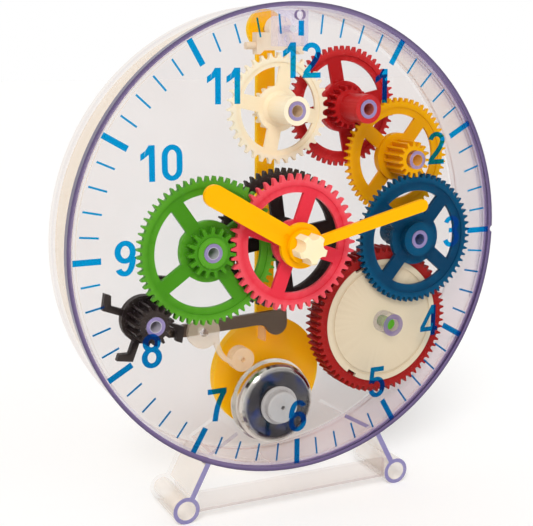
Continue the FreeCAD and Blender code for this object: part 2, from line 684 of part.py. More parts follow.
def rear_case():
    body = new_body("rear_case")
    inside = s["caseRadius"] - s["wallThickness"]
    wall_front = s["plateThickness"] + s["seatGap"]
    spin(body, "drum", [
        (0, rear_face),
        (inside, rear_face),
        (inside, wall_front),
        (s["caseRadius"], wall_front),
        (s["caseRadius"], rear_face - s["rearThickness"]),
        (s["caseRadius"] + s["lipWidth"] / 2, rear_face - s["rearThickness"]),
        (s["caseRadius"] + s["lipWidth"] / 2, s["caseDepth"]),
        (0, s["caseDepth"]),
    ])
    posts = new_sketch(body, "XZ_Plane", "posts", post_front)
    for axis in post_axes:
        draw_circle(posts, s["postRadius"], axis)
    into_plate = s["rearThickness"] / 2
    add(body, "posts", posts, rear_face - post_front + into_plate)
    disc(body, "centre_pin", s["centrePinRadius"], minute_hand_front, rear_face - minute_hand_front + into_plate)
    boss_front = s["barrelFront"] + s["barrelDepth"] + s["endGap"]
    disc(body, "arbor_boss", s["arborBoss"], boss_front, rear_face - boss_front + into_plate, barrel_axis)
    pin_front = s["hammerFront"] - s["endGap"]
    disc(body, "hammer_pin", s["hammerPin"], pin_front, rear_face - pin_front + into_plate, hammer_axis)
    rib_front = s["lipDepth"] + s["endGap"]
    for side, name in ((-1, "left_rib"), (1, "right_rib")):
        foot, way, length = leg_line(side)
        start = (side * s["legX"], foot[1] + way[1] * length)
        inward = (-side * cosine(s["ribSlope"]), sine(s["ribSlope"]))
        plate(
            body, name,
            bar_outline(start, inward, s["wallThickness"] / 2, s["ribLength"], s["ribThickness"] / 2),
            rib_front, rear_face - rib_front + into_plate,
        )
    hollow_u, hollow_v = lever_hollow[-2]
    stop_x, stop_top = tilted(hollow_u - s["stopSetback"], hollow_v)
    stop_top = s["hammerZ"] + stop_top - 2 * s["seatGap"]
    stop_left = s["hammerX"] + stop_x - s["stopThickness"] / 2
    stop_right = stop_left + s["stopThickness"]
    stop_bottom = stop_top - s["stopHeight"]
    stop_front = lever_front - s["endGap"]
    plate(
        body, "hammer_stop",
        [(stop_left, stop_bottom), (stop_right, stop_bottom), (stop_right, stop_top), (stop_left, stop_top)],
        stop_front, rear_face - stop_front + into_plate,
    )
    bores = new_sketch(body, "XZ_Plane", "bores", post_front)
    for axis in post_axes:
        draw_circle(bores, s["postBore"], axis)
    cut(body, "bores", bores)
    bore(body, "arbor_bearing", s["arborRadius"] + s["runningGap"], boss_front, None, barrel_axis)
    bore(body, "anchor_bearing", s["anchorPin"] + s["runningGap"], rear_face, None, pivot_axis)


def anchor_bracket():
    body = new_body("anchor_bracket")
    half = s["bracketWidth"] / 2
    inside = s["caseRadius"] - s["wallThickness"] - s["seatGap"]
    top = root(inside * inside - half * half)
    plate(
        body, "block",
        [(-half, s["bracketBottom"]), (half, s["bracketBottom"]), (half, top), (-half, top)],
        s["bracketFront"], s["bracketDepth"],
    )
    ring_front = s["bracketFront"] - s["ringHeight"]
    for side, name in ((1, "upper_ring"), (-1, "lower_ring")):
        place = (-s["ringOffset"], s["pivotRise"] + side * s["ringSpread"])
        disc(body, name, s["ringRadius"], ring_front, 2 * s["ringHeight"], place)
        bore(body, f"{name}_hollow", s["ringBore"], ring_front, 2 * s["ringHeight"], place)
    bore(body, "bearing", s["anchorPin"] + s["runningGap"], s["bracketFront"], None, pivot_axis)


def bell():
    body = new_body("bell", bell_axis)
    front = s["bellFront"]
    back = front + s["bellDepth"]
    outside = s["bellRadius"] - s["bellFlange"]
    hole = s["plugStem"] + s["seatGap"]
    sheet_metal = s["bellSheet"]
    shoulder = s["bellShoulder"]
    middle = (outside - shoulder, front + shoulder)

    def rounded(radius):
        """Corners of a quarter turn from the face of the bell to its wall."""
        return [
            (middle[0] + radius * sine(as_size(angle)), middle[1] - radius * cosine(as_size(angle)))
            for angle in (0, 22.5, 45, 67.5, 90)
        ]

    outer = [(hole, front)] + rounded(shoulder) + [
        (outside, back - sheet_metal),
        (s["bellRadius"], back - sheet_metal),
        (s["bellRadius"], back),
    ]
    inner = [(hole, front + sheet_metal)] + rounded(shoulder - sheet_metal) + [(outside - sheet_metal, back)]
    spin(body, "bell", outer + inner[::-1])


def bell_plug():
    body = new_body("bell_plug", bell_axis)
    front = s["plugFront"]
    head_back = s["bellFront"] - s["seatGap"]
    spin(body, "plug", [
        (0, front + s["plugSinkDepth"]),
        (s["plugSink"], front + s["plugSinkDepth"]),
        (s["plugSink"], front),
        (s["plugRadius"] - s["plugEdge"], front),
        (s["plugRadius"], front + s["plugEdge"]),
        (s["plugRadius"], head_back - s["plugCollarDepth"]),
        (s["plugCollar"], head_back - s["plugCollarDepth"]),
        (s["plugCollar"], head_back),
        (s["plugStem"], head_back),
        (s["plugStem"], rear_face - s["seatGap"]),
        (0, rear_face - s["seatGap"]),
    ])


def leg(label, side):
    body = new_body(label)
    foot, way, length = leg_line(side)
    depth = s["caseDepth"] - 2 * s["endGap"]
    disc(body, "foot_tube", s["footRadius"], s["endGap"], depth, foot, s["footBore"])
    wall_middle = (s["footRadius"] + s["footBore"]) / 2
    half = s["legThickness"] / 2
    below_rims = length - s["lipWidth"] - half
    plate(body, "leg_plate", bar_outline(foot, way, wall_middle, below_rims, half), s["endGap"], depth)
    tongue_front = s["lipDepth"] + s["endGap"]
    tongue_depth = rear_face - s["rearThickness"] - s["endGap"] - tongue_front
    nearer_corner = smaller(reach_to_drum(foot, way, half), reach_to_drum(foot, way, -half))
    tongue_end = smaller(length - s["seatGap"], nearer_corner - s["pressGap"])
    plate(
        body, "leg_tongue",
        bar_outline(foot, way, below_rims - half, tongue_end, half),
        tongue_front, tongue_depth,
    )


def cross_strip():
    body = new_body("cross_strip")
    half = s["footX"] - s["footRadius"] - s["seatGap"]
    top = s["stripRise"] - foot_drop
    bottom = top - s["stripHeight"]
    plate(
        body, "strip",
        [(-half, bottom), (half, bottom), (half, top), (-half, top)],
        2 * s["endGap"], s["stripThickness"],
    )


# ---------------------------------------------------------------- barrel and winding


def barrel_gear():
    body = new_body("barrel_gear", barrel_axis, barrel_turn)
    front = s["barrelFront"]
    back = front + s["barrelDepth"]
    outside = tip_radius("barrelTeeth", s["barrelModule"])
    cavity = s["coverRadius"] + s["seatGap"]
    floor = back - s["barrelWall"]
    spin(body, "cup", [
        (s["arborRadius"] + s["runningGap"], floor),
        (cavity - s["coverLedge"], floor),
        (cavity - s["coverLedge"], front + s["coverThickness"]),
        (cavity, front + s["coverThickness"]),
        (cavity, front),
        (outside, front),
        (outside, back),
        (s["arborRadius"] + s["runningGap"], back),
    ])
    cut_teeth(body, "tooth_gap", "barrelTeeth", s["barrelModule"], front, s["barrelDepth"])


def barrel_cover():
    body = new_body("barrel_cover", barrel_axis)
    front = s["barrelFront"]
    back = front + s["coverThickness"] - s["seatGap"]
    hole = s["arborRadius"] + s["runningGap"]
    groove = s["coverRadius"] - s["prySlotDepth"] - s["coverBead"]
    spin(body, "cover", [
        (hole, front),
        (groove - s["coverBead"], front),
        (groove - s["coverBead"], front + s["coverGroove"]),
        (groove, front + s["coverGroove"]),
        (groove, front),
        (s["coverRadius"], front),
        (s["coverRadius"], back),
        (hole, back),
    ])
    half = s["prySlotWidth"] / 2
    sketch = new_sketch(body, "XZ_Plane", "pry_slot", front, s["prySlotBearing"].value)
    draw_outline(sketch, [
        (-half, s["coverRadius"] - s["prySlotDepth"]),
        (half, s["coverRadius"] - s["prySlotDepth"]),
        (half, s["coverRadius"] + s["weld"]),
        (-half, s["coverRadius"] + s["weld"]),
    ])
    slot = cut(body, "pry_slot", sketch)
    repeat(body, "pry_slots", slot, sketch, s["prySlots"])


def mainspring():
    """A coiled strip of half-turn arcs, from just outside the arbor's core to the wall of the barrel."""
    inner = s["arborCore"].value + s["runningGap"].value + s["springStrip"].value
    outer = s["coverRadius"].value - s["coverLedge"].value - 2 * s["springStrip"].value
    halves = int(2 * s["springTurns"].value)
    strip = s["springStrip"].value
    growth = (outer - inner) / halves
    front = s["barrelFront"].value + s["coverThickness"].value + s["endGap"].value
    back = s["barrelFront"].value + s["barrelDepth"].value - s["barrelWall"].value - s["endGap"].value

    def half_turn(radius, shift, sign):
        ends = [FreeCAD.Vector(shift + sign * way * radius, front, 0) for way in (-1, 1)]
        return Part.Arc(ends[0], FreeCAD.Vector(shift, front, sign * radius), ends[1])

    inside, outside = [], []
    shift = 0.0
    for k in range(halves):
        radius = inner + k * growth
        sign = 1 if k % 2 == 0 else -1
        inside.append(half_turn(radius, shift, sign).toShape())
        outside.append(half_turn(radius + strip, shift, sign).toShape())
        shift += sign * growth * -1
    ends = []
    for arcs in (inside, outside):
        ends.append((arcs[0].Vertexes[0].Point, arcs[-1].Vertexes[-1].Point))
    caps = [Part.makeLine(ends[0][k], ends[1][k]) for k in (0, 1)]
    outline = Part.Wire(Part.__sortEdges__(inside + outside + caps))
    spring = doc.addObject("Part::Feature", "mainspring")
    spring.Label = "mainspring"
    spring.Shape = Part.Face(outline).extrude(FreeCAD.Vector(0, back - front, 0))
    spring.Placement = FreeCAD.Placement(
        FreeCAD.Vector(barrel_axis[0].value, -middle_depth.value, barrel_axis[1].value + dial_height.value),
        FreeCAD.Rotation(),
    )
    made.append(spring)


def winding_arbor():
    body = new_body("winding_arbor", barrel_axis)
    core_front = s["barrelFront"] + s["coverThickness"] + s["runningGap"]
    core_back = s["barrelFront"] + s["barrelDepth"] - s["barrelWall"] - s["runningGap"]
    spin(body, "arbor", [
        (0, s["plateThickness"] + s["endGap"]),
        (s["arborRadius"], s["plateThickness"] + s["endGap"]),
        (s["arborRadius"], core_front),
        (s["arborCore"], core_front),
        (s["arborCore"], core_back),
        (s["arborRadius"], core_back),
        (s["arborRadius"], key_front + s["keyHeight"] / 2),
        (0, key_front + s["keyHeight"] / 2),
    ])


def winding_key():
    body = new_body("winding_key", barrel_axis)
    disc(body, "shank", s["keyShank"], s["caseDepth"] + s["endGap"], key_back - s["caseDepth"] - s["endGap"])
    half_length = s["keyLength"] / 2
    half = s["keyThickness"] / 2
    plate(
        body, "wings",
        [(-half_length, -half), (half_length, -half), (half_length, half), (-half_length, half)],
        key_front, s["keyHeight"],
    )
    bore(
        body, "arbor_socket", s["arborRadius"] + s["pressGap"], s["caseDepth"] + s["endGap"],
        s["keyGap"] + s["keyHeight"] / 2 - s["endGap"] + s["pressGap"],
    )

    def is_wing_corner(edge):
        ends = [vertex.Point for vertex in edge.Vertexes]
        if len(ends) != 2:
            return False
        at_tip = all(abs(abs(end.x) - half_length.value) < 0.01 for end in ends)
        return at_tip and abs(ends[0].z - ends[1].z) > s["keyThickness"].value - 0.01

    round_edges(body, "wing_ends", s["keyRounding"], is_wing_corner)


# ---------------------------------------------------------------- centre, hour and minute work


def centre_wheel():
    body = new_body("centre_wheel", centre_axis, centre_turn)
    front = s["centreWheelFront"]
    thickness = s["centreWheelThickness"]
    hub = s["centreDisc"]
    on_pipe = s["minutePipeRadius"] + s["pressGap"]
    cone_back = front + thickness + s["coneDepth"]
    spin(body, "hub", [
        (on_pipe, front - s["discRise"]),
        (hub, front - s["discRise"]),
        (hub, front + thickness),
        (s["sleeveRadius"], cone_back),
        (on_pipe, cone_back),
    ])
    add_wheel(
        body, "centreTeeth", s["barrelModule"], front, thickness, hub, s["centreWeb"], s["centreSpokes"]
    )


def cannon_pinion():
    body = new_body("cannon_pinion", centre_axis, centre_turn)
    on_pipe = s["minutePipeRadius"] + s["pressGap"]
    front = s["hourWheelFront"] + s["hourWheelThickness"] + s["endGap"]
    length = s["minuteWheelFront"] + s["minuteWheelThickness"] + s["endGap"] - front
    collar_back = s["centreWheelFront"] - s["discRise"] - s["seatGap"]
    disc(body, "collar", s["sleeveRadius"], front + length, collar_back - front - length, bore=on_pipe)
    add_pinion(body, "pinion", "cannonTeeth", s["motionModule"], front, length, on_pipe)


def minute_pipe():
    body = new_body("minute_pipe")
    inside = s["centrePinRadius"] + s["runningGap"]
    front = minute_hand_front - s["seatGap"]
    disc(body, "pipe", s["minutePipeRadius"], front, sleeve_end - front, bore=inside)


def hour_wheel():
    body = new_body("hour_wheel", centre_axis, hour_turn)
    front = s["hourWheelFront"]
    thickness = s["hourWheelThickness"]
    hub = s["hourDisc"]
    inside = s["minutePipeRadius"] + s["runningGap"]
    spin(body, "hub", [
        (inside, hour_hand_front),
        (s["pipeRadius"], hour_hand_front),
        (s["pipeRadius"], front + s["spokeRecess"]),
        (hub, front + s["spokeRecess"]),
        (hub, front + thickness),
        (inside, front + thickness),
    ])
    add_wheel(body, "hourTeeth", hour_module, front, thickness, hub, s["hourWeb"], s["hourSpokes"])


def hour_hand():
    body = new_body("hour_hand")
    bearing = s["hourHandBearing"]
    hand(
        body, s["hourHandHub"], s["hourHandLength"], s["hourHandRoot"], s["hourHandTip"],
        hour_hand_front, s["pipeRadius"] + s["pressGap"], bearing,
    )
    place = step(centre_axis, s["handMarkPlace"], bearing)
    bore(body, "sink", s["handMark"], hour_hand_front, s["sinkDepth"], place)


def minute_hand():
    body = new_body("minute_hand")
    hand(
        body, s["minuteHandHub"], s["minuteHandLength"], s["minuteHandRoot"], s["minuteHandTip"],
        minute_hand_front, s["minutePipeRadius"] + s["pressGap"], s["minuteHandBearing"],
    )


def hand(body, hub, length, half_root, tip, front, hole, bearing):
    """A hand with a round hub and a round tip, pointing at a bearing."""
    thickness = s["handThickness"]
    disc(body, "hub", hub, front, thickness, bore=hole)
    start = hub - s["weld"]
    blade = [(-half_root, start), (half_root, start), (tip, length), (-tip, length)]
    plate(body, "blade", blade, front, thickness, bearing.value)
    sketch = new_sketch(body, "XZ_Plane", "tip", front, bearing.value)
    draw_circle(sketch, tip, (nought, length))
    add(body, "tip", sketch, thickness)


def star_knob():
    body = new_body("star_knob")
    knob_back = knob_front + s["knobDepth"]
    spin(body, "knob", [
        (0, knob_front),
        (s["knobRadius"] - s["knobEdge"], knob_front),
        (s["knobRadius"], knob_front + s["knobEdge"]),
        (s["knobRadius"], knob_back),
        (0, knob_back),
    ])
    sketch = new_sketch(body, "XZ_Plane", "flute", knob_front)
    draw_circle(sketch, s["knobFlute"], (nought, s["knobRadius"] + s["knobFlute"] / 5))
    flute = cut(body, "flute", sketch)
    repeat(body, "flutes", flute, sketch, s["knobLobes"])


def minute_wheel():
    body = new_body("minute_wheel", minute_axis, minute_turn)
    front = s["minuteWheelFront"]
    thickness = s["minuteWheelThickness"]
    hub = s["minuteDisc"]
    low_front = front + s["spokeRecess"]
    pinion_front = s["hourWheelFront"] - s["endGap"]
    spin(body, "hub", [
        (wheel_bore, collar_front),
        (s["minuteCollar"], collar_front),
        (s["minuteCollar"], low_front),
        (hub, low_front),
        (hub, front + thickness),
        (s["sleeveRadius"], front + thickness),
        (s["sleeveRadius"], sleeve_end),
        (wheel_bore, sleeve_end),
    ])
    add_wheel(
        body, "minuteTeeth", s["motionModule"], front, thickness, hub, s["minuteWeb"], s["minuteSpokes"]
    )
    add_pinion(
        body, "pinion", "minutePinionTeeth", hour_module, pinion_front, low_front - pinion_front, wheel_bore
    )


def trip_wheel():
    body = new_body("trip_wheel", trip_axis, trip_turn)
    flange_front = s["armFront"] - s["tripFlangeRise"]
    front = s["tripPinionFront"]
    spin(body, "flange", [
        (wheel_bore, flange_front),
        (s["tripFlange"], flange_front),
        (s["tripFlange"], s["armFront"] + s["armThickness"]),
        (s["sleeveRadius"], s["armFront"] + s["armThickness"]),
        (s["sleeveRadius"], sleeve_end),
        (wheel_bore, sleeve_end),
    ])
    half = s["armWidth"] / 2
    inner = s["armReach"] - s["armWidth"]
    sketch = new_sketch(body, "XZ_Plane", "arm", s["armFront"], s["tripArms"].value - trip_turn)
    draw_outline(sketch, [
        (-half, s["tripFlange"] - s["weld"]),
        (half, s["tripFlange"] - s["weld"]),
        (half, inner),
        (half + s["armHook"], inner + half),
        (half + s["armHook"], s["armReach"] + half),
        (-half, s["armReach"]),
    ])
    arm = add(body, "arm", sketch, s["armThickness"])
    repeat(body, "arms", arm, sketch, s["wheelSpokes"])
    add_pinion(body, "pinion", "tripTeeth", s["motionModule"], front, flange_front - front, wheel_bore)


# ---------------------------------------------------------------- going train


def blue_wheel():
    body = new_body("blue_wheel", blue_axis, blue_turn)
    front = s["blueWheelFront"]
    thickness = s["blueWheelThickness"]
    hub = s["blueDisc"]
    low_front = front + s["spokeRecess"]
    pinion_end = s["yellowWheelFront"] - s["endGap"]
    spin(body, "hub", [
        (wheel_bore, collar_front),
        (s["blueCollar"], collar_front),
        (s["blueCollar"], low_front),
        (hub, low_front),
        (hub, front + thickness),
        (s["sleeveRadius"], front + thickness),
        (s["sleeveRadius"], sleeve_end),
        (wheel_bore, sleeve_end),
    ])
    add_wheel(body, "blueTeeth", s["trainModule"], front, thickness, hub, s["blueWeb"], s["blueSpokes"])
    pinion_front = front + thickness
    add_pinion(
        body, "pinion", "bluePinionTeeth", s["barrelModule"], pinion_front, pinion_end - pinion_front, wheel_bore
    )


def yellow_wheel():
    body = new_body("yellow_wheel", yellow_axis, yellow_turn)
    front = s["yellowWheelFront"]
    flange = s["yellowDisc"]
    flange_front = front - s["discRise"]
    pinion_front = s["blueWheelFront"] - 2 * s["endGap"]
    spin(body, "hub", [
        (wheel_bore, flange_front),
        (flange, flange_front),
        (flange, front + s["thinWheel"]),
        (s["sleeveRadius"], front + s["thinWheel"]),
        (s["sleeveRadius"], sleeve_end),
        (wheel_bore, sleeve_end),
    ])
    add_wheel(
        body, "yellowTeeth", s["trainModule"], front, s["thinWheel"], flange, s["yellowWeb"], s["yellowSpokes"]
    )
    add_pinion(
        body, "pinion", "yellowPinionTeeth", s["trainModule"], pinion_front, flange_front - pinion_front,
        wheel_bore,
    )


def red_wheel():
    body = new_body("red_wheel", red_axis, red_turn)
    front = s["redWheelFront"]
    flange = s["redDisc"]
    flange_front = front - s["discRise"]
    pinion_front = s["yellowWheelFront"] - 2 * s["endGap"]
    spin(body, "hub", [
        (wheel_bore, collar_front),
        (s["redCollar"], collar_front),
        (s["redCollar"], pinion_front - s["coneDepth"]),
        (s["redCollar"] + s["coneDepth"], pinion_front),
        (wheel_bore, pinion_front),
    ])
    add_pinion(
        body, "pinion", "redPinionTeeth", s["trainModule"], pinion_front, flange_front - pinion_front, wheel_bore
    )
    disc(body, "flange", flange, flange_front, s["thinWheel"] + s["discRise"], bore=wheel_bore)
    add_wheel(body, "redTeeth", s["trainModule"], front, s["thinWheel"], flange, s["redWeb"], s["redSpokes"])


def escape_wheel():
    body = new_body("escape_wheel", escape_axis, escape_turn)
    front = s["escapeWheelFront"]
    back = front + s["thinWheel"]
    hub = s["escapeDisc"]
    low_front = front + s["spokeRecess"]
    pinion_front = s["redWheelFront"] - s["endGap"]
    spin(body, "hub", [
        (wheel_bore, collar_front),
        (s["escapeCollar"], collar_front),
        (s["escapeCollar"], low_front - s["coneDepth"]),
        (s["escapeCollar"] + s["coneDepth"], low_front),
        (hub, low_front),
        (hub, back),
        (s["sleeveRadius"], back),
        (s["sleeveRadius"], sleeve_end),
        (wheel_bore, sleeve_end),
    ])
    floor = s["escapeRadius"] - s["escapeToothDepth"]
    add_rim(
        body, front, s["thinWheel"], hub, floor, s["escapeRadius"], s["escapeWeb"], s["escapeSpokes"],
        s["escapeBand"],
    )
    add_pinion(
        body, "pinion", "escapePinionTeeth", s["trainModule"], pinion_front, sleeve_end - pinion_front, wheel_bore
    )
    # a hooked tooth: its front flank lies along the radius and its back slopes away from the tip
    half_pitch = 180.0 / s["escapeTeeth"].value
    sketch = new_sketch(body, "XZ_Plane", "hook_gap", front, half_pitch - escape_turn)
    width = 3 * s["escapeRadius"] / s["escapeTeeth"]
    depth = s["escapeToothDepth"] + s["hookOverrun"]
    draw_outline(sketch, [
        (across * width, floor + up * depth)
        for across, up in ((-1.0, 1.0), (-0.62, 0.35), (-0.3, 0.08), (0.1, 0.0), (0.5, 0.1), (0.74, 0.4), (0.84, 1.0))
    ])
    gap = cut(body, "hook_gap", sketch, s["thinWheel"])
    repeat(body, "hook_gaps", gap, sketch, s["escapeTeeth"])


# ---------------------------------------------------------------- anchor and pendulum


def anchor():
    body = new_body("anchor", pivot_axis)
    top = s["anchorTop"] - s["pivotRise"]
    bottom = s["anchorBottom"] - s["pivotRise"]
    half = s["anchorWidth"] / 2
    front = s["anchorFront"]
    thickness = s["anchorThickness"]
    disc(body, "head", s["anchorHead"], front, thickness)
    plate(body, "block", [(-half, bottom), (half, bottom), (half, top), (-half, top)], front, thickness)
    fall = s["pivotRise"] - s["escapeRise"]
    tip_circle = s["escapeRadius"] + s["palletGap"]
    reach = s["palletReach"] + s["palletWidth"] / 2
    tip_height = root(tip_circle * tip_circle - (reach - s["palletWidth"]) * (reach - s["palletWidth"])) - fall
    for side, name in ((-1, "left_pallet"), (1, "right_pallet")):
        plate(
            body, name,
            [
                (side * (reach - s["palletWidth"]), tip_height),
                (side * reach, tip_height),
                (side * (half - s["seatGap"]), bottom + s["weld"] / 2),
                (side * (half - s["palletRoot"]), bottom + s["weld"] / 2),
            ],
            front, thickness,
        )
    peg = new_sketch(body, "YZ_Plane", "peg")
    peg_start = -half - s["pegLength"]
    peg.AttachmentOffset = FreeCAD.Placement(FreeCAD.Vector(0, 0, peg_start.value), FreeCAD.Rotation())
    peg.setExpression(".AttachmentOffset.Base.z", peg_start.formula)
    draw_circle(peg, s["pegRadius"], (front + thickness / 2, bottom + s["pegRise"]))
    peg_pad = feature(body, "Pad", "peg", peg)
    peg_pad.setExpression("Length", (s["pegLength"] + s["weld"]).formula)
    bore(body, "arbor_hole", s["anchorPin"] + s["pressGap"], front)


def anchor_arbor():
    body = new_body("anchor_arbor", pivot_axis)
    front = s["bracketFront"] + s["seatGap"]
    back = pendulum_front + s["rodThickness"]
    disc(body, "pin", s["anchorPin"], front, back - front)


def pendulum_rod():
    body = new_body("pendulum_rod", pivot_axis)
    front = pendulum_front
    thickness = s["rodThickness"]
    half = s["rodWidth"] / 2
    bottom = -(s["pivotRise"] + s["bobDrop"] - s["bobRadius"] + s["bobSocket"])
    disc(body, "head", s["headRadius"], front, thickness)
    plate(body, "rod", [(-half, bottom), (half, bottom), (half, 0), (-half, 0)], front, thickness)
    bore(body, "arbor_hole", s["anchorPin"] + s["pressGap"], front)


def pendulum_bob():
    body = new_body("pendulum_bob", pivot_axis)
    drop = s["pivotRise"] + s["bobDrop"]
    front = s["caseDepth"] + s["endGap"]
    disc(body, "bob", s["bobRadius"], front, s["bobThickness"], (nought, -drop))
    half = s["rodWidth"] / 2 + s["seatGap"]
    socket_bottom = -(drop - s["bobRadius"] + s["bobSocket"] + s["seatGap"])
    socket_top = -drop + s["bobRadius"] + s["weld"]
    sketch = new_sketch(body, "XZ_Plane", "socket", pendulum_front - s["seatGap"])
    draw_outline(sketch, [(-half, socket_bottom), (half, socket_bottom), (half, socket_top), (-half, socket_top)])
    cut(body, "socket", sketch, s["rodThickness"] + 2 * s["seatGap"])


# ---------------------------------------------------------------- hammer

lever_front = s["hammerFront"] + s["hammerThickness"] + s["seatGap"]
lever_bottom = s["leverRise"] - s["leverHeight"] / 2
weight_along = s["leverRight"] - s["weightRadius"]
# corners of the hollow between the bar and its weight, in lengths of the hollow from the weight's left edge
lever_hollow = [
    (weight_along - s["weightRadius"] + along * s["leverHollow"], lever_bottom + up * s["leverHollow"])
    for along, up in ((-1.0, 0.0), (-0.56, -0.06), (-0.24, -0.19), (-0.05, -0.36), (0.07, -0.55))
]


def tilted(along, up):
    """A place given along and across the lever bar, as seen from the pivot of the level clock."""
    slope = s["leverSlope"]
    return along * cosine(slope) - up * sine(slope), along * sine(slope) + up * cosine(slope)


def hammer_lever():
    body = new_body("hammer_lever", hammer_axis)
    top = s["leverRise"] + s["leverHeight"] / 2
    weight_up = s["leverRise"] - s["weightDrop"]
    outline = [(-s["leverLeft"], top - s["leverEnd"]), (-s["leverLeft"] / 2, lever_bottom)] + lever_hollow + [
        (weight_along, weight_up),
        (s["leverRight"], weight_up),
        (s["leverRight"], top),
        (-s["leverLeft"] / 2, top),
        (-s["leverLeft"], top - (s["leverHeight"] - s["leverEnd"])),
    ]
    plate(body, "bar", [tilted(*corner) for corner in outline], lever_front, s["leverThickness"])
    disc(body, "weight", s["weightRadius"], lever_front, s["leverThickness"], tilted(weight_along, weight_up))
    bore(body, "pivot_hole", s["hammerPin"] + s["runningGap"], lever_front)


def ribbon(points, width):
    """The outline of a strip of even width along a line of points."""
    left, right = [], []
    for k, (x, z) in enumerate(points):
        before, after = points[max(k - 1, 0)], points[min(k + 1, len(points) - 1)]
        along_x, along_z = after[0] - before[0], after[1] - before[1]
        length = root(along_x * along_x + along_z * along_z)
        across_x, across_z = -width / 2 * along_z / length, width / 2 * along_x / length
        left.append((x + across_x, z + across_z))
        right.append((x - across_x, z - across_z))
    return left + right[::-1]


def hammer_arm():
    body = new_body("hammer_arm", hammer_axis)
    front = s["hammerFront"]
    thickness = s["hammerThickness"]
    disc(body, "hub", s["hammerHub"], front, thickness, bore=s["hammerPin"] + s["runningGap"])
    # the arm leaves the hub downwards and curves over to the striker, in shares of the striker's place
    way = ((0.33, 0.18), (0.35, 0.46), (0.42, 0.70), (0.54, 0.90), (0.69, 1.02), (0.86, 1.03))
    points = [(across * s["strikerX"], down * s["strikerZ"]) for across, down in way]
    plate(body, "arm", ribbon(points, s["armStrip"]), front, thickness)
    striker = (s["strikerX"], s["strikerZ"])
    disc(body, "striker", s["strikerRadius"], front, s["strikerDepth"], striker)
    bore(body, "striker_sink", s["strikerBore"], front, s["strikerDepth"] / 2, striker)


# ---------------------------------------------------------------- build, check and export

front_cover()
rear_case()
anchor_bracket()
bell()
bell_plug()
leg("left_leg", -1)
leg("right_leg", 1)
cross_strip()
barrel_gear()
barrel_cover()
mainspring()
winding_arbor()
winding_key()
centre_wheel()
cannon_pinion()
minute_pipe()
hour_wheel()
hour_hand()
minute_hand()
star_knob()
minute_wheel()
trip_wheel()
blue_wheel()
yellow_wheel()
red_wheel()
escape_wheel()
anchor()
anchor_arbor()
pendulum_rod()
pendulum_bob()
hammer_lever()
hammer_arm()
doc.recompute()

faults = [item.Name for item in doc.Objects if {"Invalid", "Error"} & set(item.State)]
for piece in made:
    if piece.Shape.isNull() or not piece.Shape.isValid() or len(piece.Shape.Solids) != 1:
        faults.append(piece.Label)
if faults:
    raise RuntimeError(f"these did not build: {sorted(set(faults))}")

os.makedirs("parts", exist_ok=True)
for piece in made:
    piece.Shape.exportStep(f"parts/{piece.Label}.step")
print(f"{len(made)} pieces")
for name, axis in (
    ("centre", centre_axis), ("minute", minute_axis), ("trip", trip_axis), ("blue", blue_axis),
    ("barrel", barrel_axis), ("yellow", yellow_axis), ("red", red_axis), ("escape", escape_axis),
    ("pivot", pivot_axis), ("hammer", hammer_axis),
):
    print(f"{name} axis at x {axis[0].value:.4f}, z {axis[1].value + dial_height.value:.4f}")
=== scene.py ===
import json
import math

import bmesh
import bpy
from mathutils import Matrix, Vector
from mathutils.geometry import delaunay_2d_cdt


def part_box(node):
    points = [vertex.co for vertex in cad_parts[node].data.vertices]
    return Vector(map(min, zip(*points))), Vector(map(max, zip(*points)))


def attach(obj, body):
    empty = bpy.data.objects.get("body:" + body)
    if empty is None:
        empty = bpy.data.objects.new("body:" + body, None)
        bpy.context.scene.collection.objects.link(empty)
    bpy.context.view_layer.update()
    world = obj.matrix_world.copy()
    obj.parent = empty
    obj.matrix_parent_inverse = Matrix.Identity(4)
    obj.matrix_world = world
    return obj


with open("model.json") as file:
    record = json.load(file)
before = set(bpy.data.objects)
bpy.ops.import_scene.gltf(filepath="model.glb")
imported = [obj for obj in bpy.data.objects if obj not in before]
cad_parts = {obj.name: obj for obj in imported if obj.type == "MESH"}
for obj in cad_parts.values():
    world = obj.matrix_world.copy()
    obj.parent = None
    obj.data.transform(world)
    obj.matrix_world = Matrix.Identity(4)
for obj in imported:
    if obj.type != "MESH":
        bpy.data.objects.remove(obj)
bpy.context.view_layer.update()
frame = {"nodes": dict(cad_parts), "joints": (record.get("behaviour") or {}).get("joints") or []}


def middleOf(nodeName):
    low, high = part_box(nodeName)
    return (low + high) / 2


# where the dial is: its middle on the front face of the clear plate
dialLow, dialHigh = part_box("front_cover")
dialFront = dialLow.y
dialMiddle = Vector((0, dialFront, (dialLow.z + dialHigh.z) / 2))
rimOutside = dialHigh.x
dialRadius = 0.082  # outer end of the printed ticks


def addObject(name, data):
    item = bpy.data.objects.new(name, data)
    bpy.context.scene.collection.objects.link(item)
    return item


# camera

camera = {
    "offset": (-0.17263, -0.33267, 0.06973),  # from the middle of the dial
    "turn": -25.672,
    "tilt": 78.479,
    "roll": 0.246,
    "lens": 72.706,
    "sensor": 36,
    "clipStart": 0.01,
}


def addCamera():
    data = bpy.data.cameras.new("camera")
    data.lens = camera["lens"]
    data.sensor_width = camera["sensor"]
    data.sensor_fit = "HORIZONTAL"
    data.clip_start = camera["clipStart"]
    turn = Matrix.Rotation(math.radians(camera["turn"]), 4, "Z")
    tilt = Matrix.Rotation(math.radians(camera["tilt"]), 4, "X")
    roll = Matrix.Rotation(math.radians(camera["roll"]), 4, "Z")
    item = addObject("camera", data)
    item.matrix_world = Matrix.Translation(dialMiddle + Vector(camera["offset"])) @ turn @ tilt @ roll
    bpy.context.scene.camera = item


addCamera()
print("camera set")


# small helpers for node trees

mixSockets = {"RGBA": (0, 6, 7, 2), "FLOAT": (0, 2, 3, 0)}  # factor, first, second and the result


